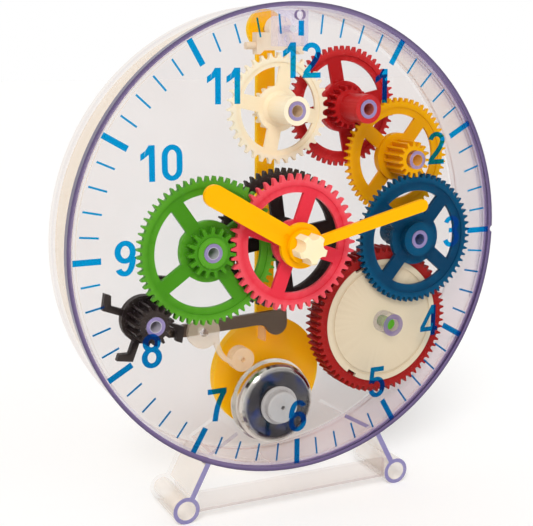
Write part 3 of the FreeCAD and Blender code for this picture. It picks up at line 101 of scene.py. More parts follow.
def feed(tree, socket, value):
    # numbers and colours are set on the socket, and an output is linked to it
    if isinstance(value, (int, float)):
        socket.default_value = value
    elif isinstance(value, tuple):
        socket.default_value = (*value, 1) if socket.type == "RGBA" else value
    else:
        tree.links.new(value, socket)


def setInputs(tree, node, values):
    for label, value in values.items():
        feed(tree, node.inputs[label], value)


def mathNode(tree, operation, *values, clamp=False):
    node = tree.nodes.new("ShaderNodeMath")
    node.operation = operation
    node.use_clamp = clamp
    for socket, value in zip(node.inputs, values):
        feed(tree, socket, value)
    return node.outputs[0]


def combined(tree, operation, values):
    result = values[0]
    for value in values[1:]:
        result = mathNode(tree, operation, result, value)
    return result


def product(tree, *values):
    return combined(tree, "MULTIPLY", values)


def largest(tree, *values):
    return combined(tree, "MAXIMUM", values)


def mixNode(tree, kind, values):
    node = tree.nodes.new("ShaderNodeMix")
    node.data_type = kind
    *inputs, result = mixSockets[kind]
    for k, value in zip(inputs, values):
        feed(tree, node.inputs[k], value)
    return node.outputs[result]


def mixColour(tree, factor, first, second):
    return mixNode(tree, "RGBA", (factor, first, second))


def mixNumber(tree, factor, first, second):
    return mixNode(tree, "FLOAT", (factor, first, second))


def mixShader(tree, *values):
    node = tree.nodes.new("ShaderNodeMixShader")
    for socket, value in zip(node.inputs, values):
        feed(tree, socket, value)
    return node.outputs[0]


def scaleColour(tree, colour, share):
    node = tree.nodes.new("ShaderNodeVectorMath")
    node.operation = "SCALE"
    feed(tree, node.inputs[0], colour)
    feed(tree, node.inputs["Scale"], share)
    return node.outputs[0]


def noiseNode(tree, scale, detail=2.0, place=None):
    if place is None:
        place = tree.nodes.new("ShaderNodeTexCoord").outputs["Object"]
    node = tree.nodes.new("ShaderNodeTexNoise")
    setInputs(tree, node, {"Scale": scale, "Detail": detail, "Vector": place})
    return node.outputs["Fac"]


def swing(tree, noise, middle, spread, clamp=False):
    # follows the noise, up to half the spread to each side of its middle
    centred = mathNode(tree, "SUBTRACT", noise, 0.5)
    return mathNode(tree, "MULTIPLY_ADD", centred, spread, middle, clamp=clamp)


def rampBetween(tree, value, start, end):
    # 0 up to the start, 1 from the end on, straight between them
    share = mathNode(tree, "SUBTRACT", value, start)
    return mathNode(tree, "DIVIDE", share, end - start, clamp=True)


def shareWhere(tree, mask, share):
    # the share where the mask is 1, and 1 where it is 0
    return mathNode(tree, "MULTIPLY_ADD", mask, share - 1, 1.0)


def separated(tree, vector):
    node = tree.nodes.new("ShaderNodeSeparateXYZ")
    feed(tree, node.inputs[0], vector)
    return node.outputs


def surfacePlace(tree):
    return separated(tree, tree.nodes.new("ShaderNodeNewGeometry").outputs["Position"])


def distanceTo(tree, place, x, z):
    # as seen from the front
    across = mathNode(tree, "SUBTRACT", place["X"], x)
    up = mathNode(tree, "SUBTRACT", place["Z"], z)
    squares = mathNode(tree, "ADD", mathNode(tree, "POWER", across, 2.0), mathNode(tree, "POWER", up, 2.0))
    return mathNode(tree, "SQRT", squares)


def sightShare(tree):
    # 1 for what the camera sees, straight, mirrored or through glass
    path = tree.nodes.new("ShaderNodeLightPath").outputs
    return largest(tree, path["Is Camera Ray"], path["Is Glossy Ray"], path["Is Transmission Ray"])


def addBump(tree, shader, height, strength, depth):
    bump = tree.nodes.new("ShaderNodeBump")
    setInputs(tree, bump, {"Strength": strength, "Distance": depth, "Height": height})
    tree.links.new(bump.outputs["Normal"], shader.inputs["Normal"])


def newMaterial(name):
    mat = bpy.data.materials.new(name)
    mat.use_nodes = True
    tree = mat.node_tree
    return mat, tree, tree.nodes["Principled BSDF"]


# light, floor and surroundings

white = (1, 1, 1)
studio = {
    "floorColour": (0.945, 0.955, 0.97),
    "floorRough": 0.9,
    "floorShine": 0.1,
    "floorGlow": 0.11,
    "floorSize": 9.0,
    "skyColour": (1, 0.985, 0.965),
    "skyForLight": 0.62,
    "skyForSight": 1.0,
    "keyColour": (1, 0.975, 0.94),
    "keyStrength": 1.55,
    "keyAngle": 26,
    "keyFrom": (-0.50, -0.80, 0.85),
    "fillPower": 1.0,
    "fillSize": 0.9,
    "fillAt": (0.75, -0.8, 0.55),
}


def addBackground(tree, colour, strength):
    node = tree.nodes.new("ShaderNodeBackground")
    setInputs(tree, node, {"Color": colour, "Strength": strength})
    return node.outputs[0]


def addSky():
    # the eye sees white, and a dimmer and warmer sky lights the object
    world = bpy.data.worlds.new("studio")
    bpy.context.scene.world = world
    world.use_nodes = True
    tree = world.node_tree
    tree.nodes.clear()
    lit = addBackground(tree, studio["skyColour"], studio["skyForLight"])
    seen = addBackground(tree, white, studio["skyForSight"])
    out = tree.nodes.new("ShaderNodeOutputWorld")
    setInputs(tree, out, {"Surface": mixShader(tree, sightShare(tree), lit, seen)})


def addLamps():
    sun = bpy.data.lights.new("keyLight", "SUN")
    sun.energy = studio["keyStrength"]
    sun.angle = math.radians(studio["keyAngle"])
    sun.color = studio["keyColour"]
    key = addObject("keyLight", sun)
    key.rotation_euler = Vector(studio["keyFrom"]).to_track_quat("Z", "Y").to_euler()

    area = bpy.data.lights.new("fillLight", "AREA")
    area.energy = studio["fillPower"]
    area.size = studio["fillSize"]
    fill = addObject("fillLight", area)
    fill.location = studio["fillAt"]
    toDial = dialMiddle - Vector(studio["fillAt"])
    fill.rotation_euler = toDial.to_track_quat("-Z", "Y").to_euler()


def addFloor():
    mesh = bpy.data.meshes.new("floor")
    half = studio["floorSize"] / 2
    corners = [(-half, -half, 0), (half, -half, 0), (half, half, 0), (-half, half, 0)]
    mesh.from_pydata(corners, [], [(0, 1, 2, 3)])
    mat, tree, shader = newMaterial("floorPaper")
    setInputs(tree, shader, {
        "Base Color": studio["floorColour"],
        "Roughness": studio["floorRough"],
        "Specular IOR Level": studio["floorShine"],
        "Emission Color": white,
        "Emission Strength": product(tree, sightShare(tree), studio["floorGlow"]),
    })
    mesh.materials.append(mat)
    floor = addObject("floor", mesh)


bpy.context.scene.view_settings.view_transform = "Standard"
addSky()
addLamps()
addFloor()
print("studio set")


# shared effects, each built once as a node group


def newGroup(name, inputs, outputs):
    # an input is a colour if its value is a tuple, and an output if it is called Colour
    group = bpy.data.node_groups.new(name, "ShaderNodeTree")
    for label, value in inputs.items():
        isColour = isinstance(value, tuple)
        kind = "NodeSocketColor" if isColour else "NodeSocketFloat"
        socket = group.interface.new_socket(name=label, in_out="INPUT", socket_type=kind)
        socket.default_value = (*value, 1) if isColour else value
    for label in outputs:
        kind = "NodeSocketColor" if label == "Colour" else "NodeSocketFloat"
        group.interface.new_socket(name=label, in_out="OUTPUT", socket_type=kind)
    start = group.nodes.new("NodeGroupInput")
    end = group.nodes.new("NodeGroupOutput")
    return group, start.outputs, end


def addGroup(tree, group, values):
    node = tree.nodes.new("ShaderNodeGroup")
    node.node_tree = group
    setInputs(tree, node, values)
    return node.outputs


moulding = {
    "driftScale": 55.0,
    "driftDetail": 3.0,
    "smearScale": 140.0,
    "smear": 0.22,  # how far the roughness changes from place to place
    "grain": 0.08,
    "edgeBend": 0.515,  # pointiness at which an edge starts to take the painted highlight
    "edgeGain": 14.0,
    "bump": 0.12,
    "bumpDepth": 0.00004,
}


def makeMouldedGroup():
    # injection-moulded plastic: slow drift of shade, fine satin grain, and sharp edges made paler by a
    # painted highlight
    group, start, end = newGroup(
        "mouldedPlastic",
        {
            "Colour": (0.8, 0.8, 0.8),
            "Edge Colour": white,
            "Drift": 0.12,
            "Edge Highlight": 0.3,
            "Plain Roughness": 0.3,
            "Grain Scale": 2600.0,
        },
        ("Colour", "Roughness", "Height"),
    )
    drift = noiseNode(group, moulding["driftScale"], moulding["driftDetail"])
    shaded = scaleColour(group, start["Colour"], swing(group, drift, 1.0, start["Drift"]))
    # painted highlight: sharp edges are mixed towards the paler edge colour
    bend = group.nodes.new("ShaderNodeNewGeometry").outputs["Pointiness"]
    bend = mathNode(group, "SUBTRACT", bend, moulding["edgeBend"])
    edge = mathNode(group, "MULTIPLY", bend, moulding["edgeGain"], clamp=True)
    edgeHighlight = mathNode(group, "MULTIPLY", edge, start["Edge Highlight"], clamp=True)
    grain = noiseNode(group, start["Grain Scale"])
    smear = noiseNode(group, moulding["smearScale"])
    rough = swing(group, smear, start["Plain Roughness"], moulding["smear"])
    setInputs(group, end, {
        "Colour": mixColour(group, edgeHighlight, shaded, start["Edge Colour"]),
        "Roughness": swing(group, grain, rough, moulding["grain"], clamp=True),
        "Height": grain,
    })
    return group


farOff = 9.0  # in metres, where nothing of the clock is
clearness = {
    "facing": 0.9,  # how squarely a face looks forwards to be the end of a post
    "standing": 0.5,  # below this a face is a wall
    "streakScale": 38.0,
    "streakDetail": 3.0,
    "thinStreaks": 0.5,
    "denseStreaks": 0.4,
    "cloudScale": 60.0,
    "smearScale": 90.0,
    "smear": 0.12,
    "rough": 0.10,
    "paintedShadeLowRight": (-0.07, 0.09),  # where the painted shade, a slow darkening towards the lower right, starts and ends
    "wallInside": 0.15,  # walls of posts and ribs against the wall of the drum
    "endLeast": 0.02,  # share of an end from which on its colour shows
    "edgeWidth": 0.0018,
    "hazeWidth": 0.0055,
    "hazeUpRight": (0.045, 0.105),
    "haze": 0.9,
    "hazeStreaks": 0.8,
    "bossFront": 0.86,
    "bossBehind": 0.2,
    "frontSkin": 0.0005,
    "leftRibEnd": 0.2,
    "leftRibGloss": 0.15,
    "ribDark": 0.45,
}


def makeClearGroup():
    # clear plastic is faint where it is thin and violet where a long way through it is seen:
    # on the lip round the dial, at the ends of posts and ribs, and in the wall of a bore
    group, start, end = newGroup(
        "clearPlastic",
        {
            "Film Colour": (0.28, 0.08, 0.01),
            "Wall Colour": (0.90, 0.72, 0.50),
            "Wall Painted Shade": (0.62, 0.45, 0.50),
            "End Colour": (0.200, 0.180, 0.430),
            "Pale End": (0.30, 0.22, 0.46),
            "Edge Colour": (0.045, 0.028, 0.09),
            "Film": 0.02,
            "Film Painted Shade": 0.02,
            "Wall Film": 0.1,
            "End Density": 0.6,
            "End Depth": -farOff,
            "End Radius": farOff,
            "Lip Share": 0.0,
            "Rim Radius": farOff,
            "Rim Haze": 0.0,
            "Boss X": farOff,
            "Boss Z": farOff,
            "Boss Radius": 0.004,
            "Boss Bore": 0.002,
            "Hole Z": farOff,
            "Hole Radius": 0.002,
            "Rib Top": -farOff,
        },
        ("Colour", "Alpha", "Roughness", "Gloss Share"),
    )
    place = surfacePlace(group)
    normal = separated(group, group.nodes.new("ShaderNodeTexCoord").outputs["Normal"])
    squarely = mathNode(group, "ABSOLUTE", normal["Y"])
    facing = mathNode(group, "GREATER_THAN", squarely, clearness["facing"])
    standing = mathNode(group, "LESS_THAN", squarely, clearness["standing"])
    radius = distanceTo(group, place, dialMiddle.x, dialMiddle.z)
    rise = mathNode(group, "SUBTRACT", place["Z"], dialMiddle.z)
    streak = noiseNode(group, clearness["streakScale"], clearness["streakDetail"])

    # ends of posts and ribs, full inside the lip and weaker on it
    shallow = mathNode(group, "LESS_THAN", place["Y"], start["End Depth"])
    inside = mathNode(group, "LESS_THAN", radius, start["End Radius"])
    ends = product(group, facing, shallow, largest(group, inside, start["Lip Share"]))

    # the two ribs at the legs stand low in the case, and the left one hardly shows
    low = mathNode(group, "LESS_THAN", place["Z"], start["Rib Top"])
    ribs = product(group, low, inside)
    leftRib = product(group, ribs, mathNode(group, "LESS_THAN", place["X"], 0.0))
    ends = product(group, ends, shareWhere(group, leftRib, clearness["leftRibEnd"]))
    glossShare = shareWhere(group, product(group, leftRib, standing), clearness["leftRibGloss"])

    # the winding boss is a violet ring on the front face, and faint behind it
    toBoss = distanceTo(group, place, start["Boss X"], start["Boss Z"])
    onBoss = mathNode(group, "LESS_THAN", toBoss, start["Boss Radius"])
    offBore = mathNode(group, "GREATER_THAN", toBoss, start["Boss Bore"])
    onFront = mathNode(group, "LESS_THAN", place["Y"], dialFront + clearness["frontSkin"])
    bossShare = mixNumber(group, onFront, clearness["bossBehind"], clearness["bossFront"])
    boss = product(group, onBoss, offBore, bossShare)

    # the wall of the small hole over the dial
    toHole = distanceTo(group, place, dialMiddle.x, start["Hole Z"])
    inHole = mathNode(group, "LESS_THAN", toHole, start["Hole Radius"])
    hole = product(group, inHole, standing)

    # the rim, with a haze along it at the upper right
    onRim = mathNode(group, "GREATER_THAN", radius, start["Rim Radius"])
    toRim = mathNode(group, "SUBTRACT", start["Rim Radius"], radius)
    nearRim = rampBetween(group, toRim, clearness["hazeWidth"], 0.0)
    upRight = mathNode(group, "ADD", place["X"], rise)
    upRight = rampBetween(group, upRight, *clearness["hazeUpRight"])
    streaks = swing(group, streak, clearness["haze"], clearness["hazeStreaks"])
    haze = product(group, nearRim, upRight, start["Rim Haze"], streaks)
    mask = largest(group, onRim, ends, boss, hole, haze)

    # how much light it takes away
    # painted shade: towards the lower right the film is denser and the wall colour darker
    paintedShadeLowRight = mathNode(group, "SUBTRACT", place["X"], rise)
    paintedShadeLowRight = rampBetween(group, paintedShadeLowRight, *clearness["paintedShadeLowRight"])
    film = mixNumber(group, paintedShadeLowRight, start["Film"], start["Film Painted Shade"])
    wallFilm = product(group, start["Wall Film"], shareWhere(group, inside, clearness["wallInside"]))
    thin = mixNumber(group, standing, film, wallFilm)
    thin = product(group, thin, swing(group, streak, 1.0, clearness["thinStreaks"]))
    dense = product(group, start["End Density"], swing(group, streak, 1.0, clearness["denseStreaks"]))

    # its colour, and that of the ends, darker outwards on the rim and on the ribs
    wall = mixColour(group, paintedShadeLowRight, start["Wall Colour"], start["Wall Painted Shade"])
    body = mixColour(group, standing, start["Film Colour"], wall)
    cloud = noiseNode(group, clearness["cloudScale"])
    tone = mixColour(group, cloud, start["End Colour"], start["Pale End"])
    outward = rampBetween(group, toRim, 0.0, -clearness["edgeWidth"])
    tone = mixColour(group, outward, tone, start["Edge Colour"])
    tone = mixColour(group, product(group, ribs, clearness["ribDark"]), tone, start["Edge Colour"])
    isEnd = mathNode(group, "GREATER_THAN", mask, clearness["endLeast"])

    smear = noiseNode(group, clearness["smearScale"])
    setInputs(group, end, {
        "Colour": mixColour(group, isEnd, body, tone),
        "Alpha": mixNumber(group, mask, thin, dense),
        "Roughness": swing(group, smear, clearness["rough"], clearness["smear"]),
        "Gloss Share": glossShare,
    })
    return group


mouldedGroup = makeMouldedGroup()
clearGroup = makeClearGroup()
print("node groups built")


# moulded plastics

plainPlastic = {
    "rough": 0.3,
    "shine": 0.06,
    "glow": 0.0,  # share of the light that spreads inside
    "depths": (0.002, 0.0015, 0.001),  # how far red, green and blue spread
}
# each edge colour is the painted highlight on sharp edges
plastics = {
    "greenPlastic": {"colour": (0.062, 0.270, 0.010), "edge": (0.18, 0.52, 0.05)},
    "pinkPlastic": {"colour": (0.780, 0.036, 0.064), "edge": (1.0, 0.22, 0.26), "glow": 0.08},
    "blackPlastic": {"colour": (0.020, 0.014, 0.013), "edge": (0.10, 0.08, 0.07), "rough": 0.34},
    "bluePlastic": {"colour": (0.000, 0.042, 0.105), "edge": (0.00, 0.14, 0.30)},
    "yellowPlastic": {"colour": (0.750, 0.330, 0.000), "edge": (0.95, 0.50, 0.00), "glow": 0.06},
    "redPlastic": {"colour": (0.430, 0.009, 0.010), "edge": (0.85, 0.07, 0.07)},
    "darkRedPlastic": {"colour": (0.270, 0.007, 0.006), "edge": (0.50, 0.03, 0.025)},
    "creamPlastic": {"colour": (0.960, 0.800, 0.560), "edge": (1.0, 0.96, 0.84), "glow": 0.15},
    "coverPlastic": {"colour": (0.665, 0.555, 0.395), "edge": (0.82, 0.72, 0.55), "rough": 0.42},
    "handPlastic": {"colour": (1.000, 0.425, 0.000), "edge": (1.0, 0.56, 0.00), "glow": 0.06, "rough": 0.26},
    "knobPlastic": {"colour": (0.980, 0.770, 0.460), "edge": (1.0, 0.95, 0.78), "glow": 0.3, "rough": 0.22},
    "nylon": {"colour": (0.800, 0.620, 0.450), "edge": (0.94, 0.84, 0.70), "rough": 0.4, "see": 0.44},
    "plugNylon": {"colour": (0.520, 0.500, 0.495), "edge": (0.86, 0.85, 0.84), "rough": 0.4, "see": 0.82},
    # painted shade: the anchor's pale cream plastic is painted darker and pinker, as it looks in shade
    "anchorPaintedShade": {"colour": (0.800, 0.620, 0.450), "edge": (0.95, 0.84, 0.70)},
    # the pendulum's passed share is a painted glow
    "pendulumPlastic": {
        "colour": (1.000, 0.455, 0.000), "edge": (1.0, 0.56, 0.00), "rough": 0.36,
        "glow": 0.7, "depths": (0.006, 0.004, 0.001), "passed": 0.25,
    },
}
nylonClouds = {"scale": 150.0, "spread": 0.2}


def mouldedMaterial(name, look):
    look = {**plainPlastic, **look}
    mat, tree, shader = newMaterial(name)
    surface = addGroup(tree, mouldedGroup, {
        "Colour": look["colour"],
        "Edge Colour": look["edge"],
        "Plain Roughness": look["rough"],
    })
    setInputs(tree, shader, {
        "Base Color": surface["Colour"],
        "Roughness": surface["Roughness"],
        "Specular IOR Level": look["shine"],
        "Subsurface Weight": look["glow"],
        "Subsurface Radius": look["depths"],
        "Subsurface Scale": 1.0,
    })
    addBump(tree, shader, surface["Height"], moulding["bump"], moulding["bumpDepth"])
    if "passed" in look:  # painted glow: emission in the plastic's own colour stands in for light that comes through from behind
        setInputs(tree, shader, {"Emission Color": surface["Colour"], "Emission Strength": look["passed"]})
    if "see" in look:
        cloud = noiseNode(tree, nylonClouds["scale"])
        setInputs(tree, shader, {"Alpha": swing(tree, cloud, look["see"], nylonClouds["spread"])})
        mat.surface_render_method = "BLENDED"
    return mat


# clear plastics, by the inputs of their node group

windingAxis = middleOf("winding_arbor")
clears = {
    # the film and wall values for the lower right are painted shade
    "clearCover": {
        "Film": 0.008, "Film Painted Shade": 0.012, "Wall Film": 0.03, "End Density": 0.90,
        "Rim Radius": rimOutside - 0.0015, "Rim Haze": 0.34,
        "Boss X": windingAxis.x, "Boss Z": windingAxis.z, "Boss Radius": 0.00425, "Boss Bore": 0.0024,
        "Hole Z": dialMiddle.z + 0.0794, "Hole Radius": 0.00185,
        "Film Colour": (0.05, 0.03, 0.05),
        "End Colour": (0.125, 0.080, 0.210), "Pale End": (0.20, 0.14, 0.32),
    },
    "clearCase": {
        "Film": 0.11, "Film Painted Shade": 0.145, "Wall Film": 0.065, "End Density": 0.85,
        "End Depth": dialFront + 0.004, "End Radius": 0.0805, "Lip Share": 0.22, "Rib Top": 0.036,
        "End Colour": (0.260, 0.225, 0.470),
    },
    "clearStand": {
        "Film": 0.08, "Film Painted Shade": 0.08, "Wall Film": 0.06, "End Density": 0.92,
        "End Depth": middleOf("left_leg").y,
        "Film Colour": (0.66, 0.56, 0.48), "Wall Painted Shade": (0.86, 0.76, 0.68),
        "End Colour": (0.165, 0.150, 0.370), "Pale End": (0.24, 0.21, 0.43),
    },
    "clearStrip": {
        "Film": 0.15, "Film Painted Shade": 0.15, "Wall Film": 0.12, "Film Colour": (0.58, 0.46, 0.40),
    },
    "clearBracket": {
        "Film": 0.30, "Film Painted Shade": 0.30, "Wall Film": 0.12,
        "Film Colour": (0.68, 0.60, 0.80), "Wall Colour": (0.60, 0.50, 0.72),
    },
}
clearGloss = {"ior": 1.49, "sheenIor": 1.3, "sheen": 0.4}

# painted light: the bore of a clear post is painted in the colour of the light that comes through its wall
# from the wheel that turns on it
paintedBoreLight = {
    "on": "clearCase",
    "radius": 0.00215,
    "cover": 0.72,
    "wheels": {
        "green": (0.66, 0.62, 0.76), "trip": (0.66, 0.62, 0.76), "blue": (0.06, 0.10, 0.30),
        "yellow": (0.70, 0.33, 0.03), "red": (0.42, 0.09, 0.07), "escape": (0.55, 0.40, 0.30),
    },
}


def addPaintedBoreLight(tree, colour, alpha):
    # paints that light into the bore round each wheel's axis
    place = surfacePlace(tree)
    for joint in frame["joints"]:
        if joint["child"] in paintedBoreLight["wheels"]:
            x, _, z = joint["pos_m"]
            inBore = mathNode(tree, "LESS_THAN", distanceTo(tree, place, x, z), paintedBoreLight["radius"])
            colour = mixColour(tree, inBore, colour, paintedBoreLight["wheels"][joint["child"]])
            alpha = largest(tree, alpha, product(tree, inBore, paintedBoreLight["cover"]))
    return colour, alpha


def clearMaterial(name, look):
    mat, tree, shader = newMaterial(name)
    surface = addGroup(tree, clearGroup, look)
    colour, alpha = surface["Colour"], surface["Alpha"]
    if name == paintedBoreLight["on"]:
        colour, alpha = addPaintedBoreLight(tree, colour, alpha)
    sheen = tree.nodes.new("ShaderNodeFresnel")
    sheen.inputs["IOR"].default_value = clearGloss["sheenIor"]
    gloss = product(tree, sheen.outputs[0], clearGloss["sheen"], surface["Gloss Share"])
    setInputs(tree, shader, {
        "Base Color": colour,
        "Roughness": surface["Roughness"],
        "Alpha": mathNode(tree, "ADD", alpha, gloss, clamp=True),
        "IOR": clearGloss["ior"],
    })
    mat.surface_render_method = "BLENDED"
    return mat


# metals

metals = {
    "leverSteel": {"colour": (0.105, 0.075, 0.055), "rough": 0.34, "streaks": (0.05, 1, 1)},
    "pinSteel": {"colour": (0.66, 0.63, 0.66), "rough": 0.3, "streaks": (1, 0.05, 1)},
    "springSteel": {"colour": (0.24, 0.24, 0.26), "rough": 0.25, "streaks": (1, 0.05, 1)},
}
brushing = {
    "scale": 900.0,
    "detail": 4.0,
    "tone": 0.25,
    "satin": 0.2,
    "bump": 0.08,
    "bumpDepth": 0.00003,
}


def metalMaterial(name, look):
    mat, tree, shader = newMaterial(name)
    place = tree.nodes.new("ShaderNodeMapping")
    coord = tree.nodes.new("ShaderNodeTexCoord")
    setInputs(tree, place, {"Vector": coord.outputs["Object"], "Scale": look["streaks"]})
    streaks = noiseNode(tree, brushing["scale"], brushing["detail"], place.outputs[0])
    setInputs(tree, shader, {
        "Base Color": scaleColour(tree, look["colour"], swing(tree, streaks, 1.0, brushing["tone"])),
        "Roughness": swing(tree, streaks, look["rough"], brushing["satin"], clamp=True),
        "Metallic": 1.0,
    })
    addBump(tree, shader, streaks, brushing["bump"], brushing["bumpDepth"])
    return mat


bellLook = {
    # face and wall are painted reflection: dark on the face, bright round the shoulder
    "face": (0.056, 0.053, 0.058),
    "blueSmudge": (0.026, 0.045, 0.160),
    "cloud": (0.130, 0.125, 0.125),
    "wall": (0.700, 0.665, 0.610),
    "faceRadius": 0.0126,
    "wallRadius": 0.0147,
    "smudgeScale": 130.0,
    "smudges": (0.54, 0.66),  # noise at which the blue smudges start and are full
    "cloudScale": 70.0,
    "cloudDetail": 3.0,
    "clouds": (0.45, 0.75),
    "rough": 0.14,
    "scratchScale": 900.0,
    "scratchDetail": 4.0,
    "scratches": 0.16,
    "bump": 0.06,
    "bumpDepth": 0.00003,
}


def bellMaterial():
    # plated steel with painted reflection: the face is painted as a dark mirror with blue smudges, and the
    # wall is painted bright where it turns round the shoulder
    mat, tree, shader = newMaterial("bellChrome")
    centre = middleOf("bell")
    radius = distanceTo(tree, surfacePlace(tree), centre.x, centre.z)
    paintedBrightShoulder = rampBetween(tree, radius, bellLook["faceRadius"], bellLook["wallRadius"])
    smudges = rampBetween(tree, noiseNode(tree, bellLook["smudgeScale"]), *bellLook["smudges"])
    clouds = noiseNode(tree, bellLook["cloudScale"], bellLook["cloudDetail"])
    face = mixColour(tree, smudges, bellLook["face"], bellLook["blueSmudge"])
    face = mixColour(tree, rampBetween(tree, clouds, *bellLook["clouds"]), face, bellLook["cloud"])
    scratches = noiseNode(tree, bellLook["scratchScale"], bellLook["scratchDetail"])
    setInputs(tree, shader, {
        "Base Color": mixColour(tree, paintedBrightShoulder, face, bellLook["wall"]),
        "Roughness": swing(tree, scratches, bellLook["rough"], bellLook["scratches"], clamp=True),
        "Metallic": 1.0,
    })
    addBump(tree, shader, scratches, bellLook["bump"], bellLook["bumpDepth"])
    return mat


# ink of the dial

ink = {
    "body": (0.0, 0.080, 0.550),  # what the ink itself throws back
    "patch": (0.0, 0.110, 0.590),
    "patchScale": 420.0,
    "patchDetail": 3.0,
    "cover": 0.134,
    "rough": 0.4,
    "shine": 0.3,
    "passed": {"printInk": (0.0, 0.675, 0.895), "deepInk": (0.0, 0.51, 0.72)},  # by one face of the print
}


def inkMaterial(name, passed):
    # blue print that lets light through, so that what lies behind darkens it
    mat, tree, shader = newMaterial(name)
    patches = noiseNode(tree, ink["patchScale"], ink["patchDetail"])
    setInputs(tree, shader, {
        "Base Color": mixColour(tree, patches, ink["body"], ink["patch"]),
        "Roughness": ink["rough"],
        "Specular IOR Level": ink["shine"],
    })
    clear = tree.nodes.new("ShaderNodeBsdfTransparent")
    setInputs(tree, clear, {"Color": passed})
    printed = mixShader(tree, ink["cover"], clear.outputs[0], shader.outputs[0])
    setInputs(tree, tree.nodes["Material Output"], {"Surface": printed})
    mat.surface_render_method = "BLENDED"
    return mat


finishes = {"bellChrome": bellMaterial()}
for makeMaterial, looks in (
    (mouldedMaterial, plastics),
    (clearMaterial, clears),
    (metalMaterial, metals),
    (inkMaterial, ink["passed"]),
):
    for finishName, look in looks.items():
        finishes[finishName] = makeMaterial(finishName, look)
print("materials made:", len(finishes))

nodeFinish = {
    "front_cover": "clearCover",
    "rear_case": "clearCase",
    "anchor_bracket": "clearBracket",
    "left_leg": "clearStand",
    "right_leg": "clearStand",
    "cross_strip": "clearStrip",
    "bell": "bellChrome",
    "bell_plug": "plugNylon",
    "barrel_gear": "darkRedPlastic",
    "barrel_cover": "coverPlastic",
    "mainspring": "springSteel",
    "winding_arbor": "greenPlastic",
    "winding_key": "greenPlastic",
    "centre_wheel": "blackPlastic",
    "cannon_pinion": "blackPlastic",
    "minute_pipe": "blackPlastic",
    "minute_hand": "handPlastic",
    "star_knob": "knobPlastic",
    "hour_wheel": "pinkPlastic",
    "hour_hand": "handPlastic",
    "minute_wheel": "greenPlastic",
    "trip_wheel": "blackPlastic",
    "blue_wheel": "bluePlastic",
    "yellow_wheel": "yellowPlastic",
    "red_wheel": "redPlastic",
    "escape_wheel": "creamPlastic",
    "anchor": "anchorPaintedShade",
    "anchor_arbor": "pinSteel",
    "pendulum_rod": "pendulumPlastic",
    "pendulum_bob": "pendulumPlastic",
    "hammer_lever": "leverSteel",
    "hammer_arm": "nylon",
}

for nodeName, finishName in nodeFinish.items():
    for slot in frame["nodes"][nodeName].material_slots:
        slot.material = finishes[finishName]

# the clear shells let lamps and sky through to the works
for nodeName in ("front_cover", "rear_case", "anchor_bracket"):
    frame["nodes"][nodeName].visible_shadow = False
    frame["nodes"][nodeName].visible_diffuse = False
print("finishes on nodes:", len(nodeFinish))


def addPiece(name, shape, body, finish):
    mesh = bpy.data.meshes.new(name)
    shape.to_mesh(mesh)
    shape.free()
    mesh.materials.append(finishes[finish])
    item = addObject(name, mesh)
    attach(item, body)


def addPrism(shape, points, faces, front, back):
    # flat faces at two depths, by the numbers of their points, and walls on the sides that no two share
    near, far = ([shape.verts.new((x, depth, z)) for x, z in points] for depth in (front, back))
    sides = [side for face in faces for side in zip(face, (*face[1:], face[0]))]
    drawn = set(sides)
    for face in faces:
        shape.faces.new([near[k] for k in face])
        shape.faces.new([far[k] for k in reversed(face)])
    for a, b in sides:
        if (b, a) not in drawn:
            shape.faces.new((near[b], near[a], far[a], far[b]))
    bmesh.ops.recalc_face_normals(shape, faces=shape.faces[:])


# dial print: ticks by the minute, in shares of the dial's radius

dialPrint = {
    "minutes": 60,
    "perFigure": 5,  # minutes from one figure to the next
    "lift": 0.00002,
    "depth": 0.00003,
    "minuteTick": {"inner": 0.895, "outer": 0.975, "width": 0.0085},
    "hourTick": {"inner": 0.883, "outer": 1.0, "width": 0.026},
    "topTick": {"inner": 0.883, "outer": 0.945, "width": 0.026},
    "deepTicks": (17, 44),  # the print is darker at the foot of the dial
    "deepFigures": ("4", "5", "6", "7", "8"),
}


def addTicks(name, minutes, finish):
    shape = bmesh.new()
    for minute in minutes:
        if minute == 0:
            tick = dialPrint["topTick"]
        elif minute % dialPrint["perFigure"] == 0:
            tick = dialPrint["hourTick"]
        else:
            tick = dialPrint["minuteTick"]
        length = (tick["outer"] - tick["inner"]) * dialRadius
        middle = (tick["outer"] + tick["inner"]) / 2 * dialRadius
        turn = Matrix.Rotation(math.radians(360 / dialPrint["minutes"] * minute), 4, "Y")
        size = Matrix.Diagonal((tick["width"] * dialRadius, dialPrint["depth"], length, 1))
        place = Matrix.Translation((0, -dialPrint["lift"] - dialPrint["depth"] / 2, middle))
        bmesh.ops.create_cube(shape, size=1, matrix=Matrix.Translation(dialMiddle) @ turn @ place @ size)
    addPiece(name, shape, "case", finish)


# figures are drawn in a box 7.3 wide and 12 high, in millimetres about its middle

figure = {
    "half": 3.65,
    "top": 6.0,
    "upright": 2.1,  # width of a stroke that runs up
    "level": 1.75,  # width of a stroke that runs across
    "pitch": 7.05,
    "arcSteps": 10,  # in a quarter turn
    "weld": 0.0001,  # points as near as this become one
    "places": {
        "12": (0.55, 64.2), "1": (33.8, 55.1), "2": (56.8, 32.1), "3": (64.9, 0.25),
        "4": (56.3, -33.7), "5": (33.6, -55.25), "6": (0.15, -63.65), "7": (-31.7, -54.8),
        "8": (-55.6, -32.3), "9": (-64.2, 0.3), "10": (-50.9, 31.15), "11": (-27.35, 55.85),
    },
}
mmPerMetre = 1000

# middle lines of the strokes at the side and at the top
sideLine = figure["half"] - figure["upright"] / 2
topLine = figure["top"] - figure["level"] / 2


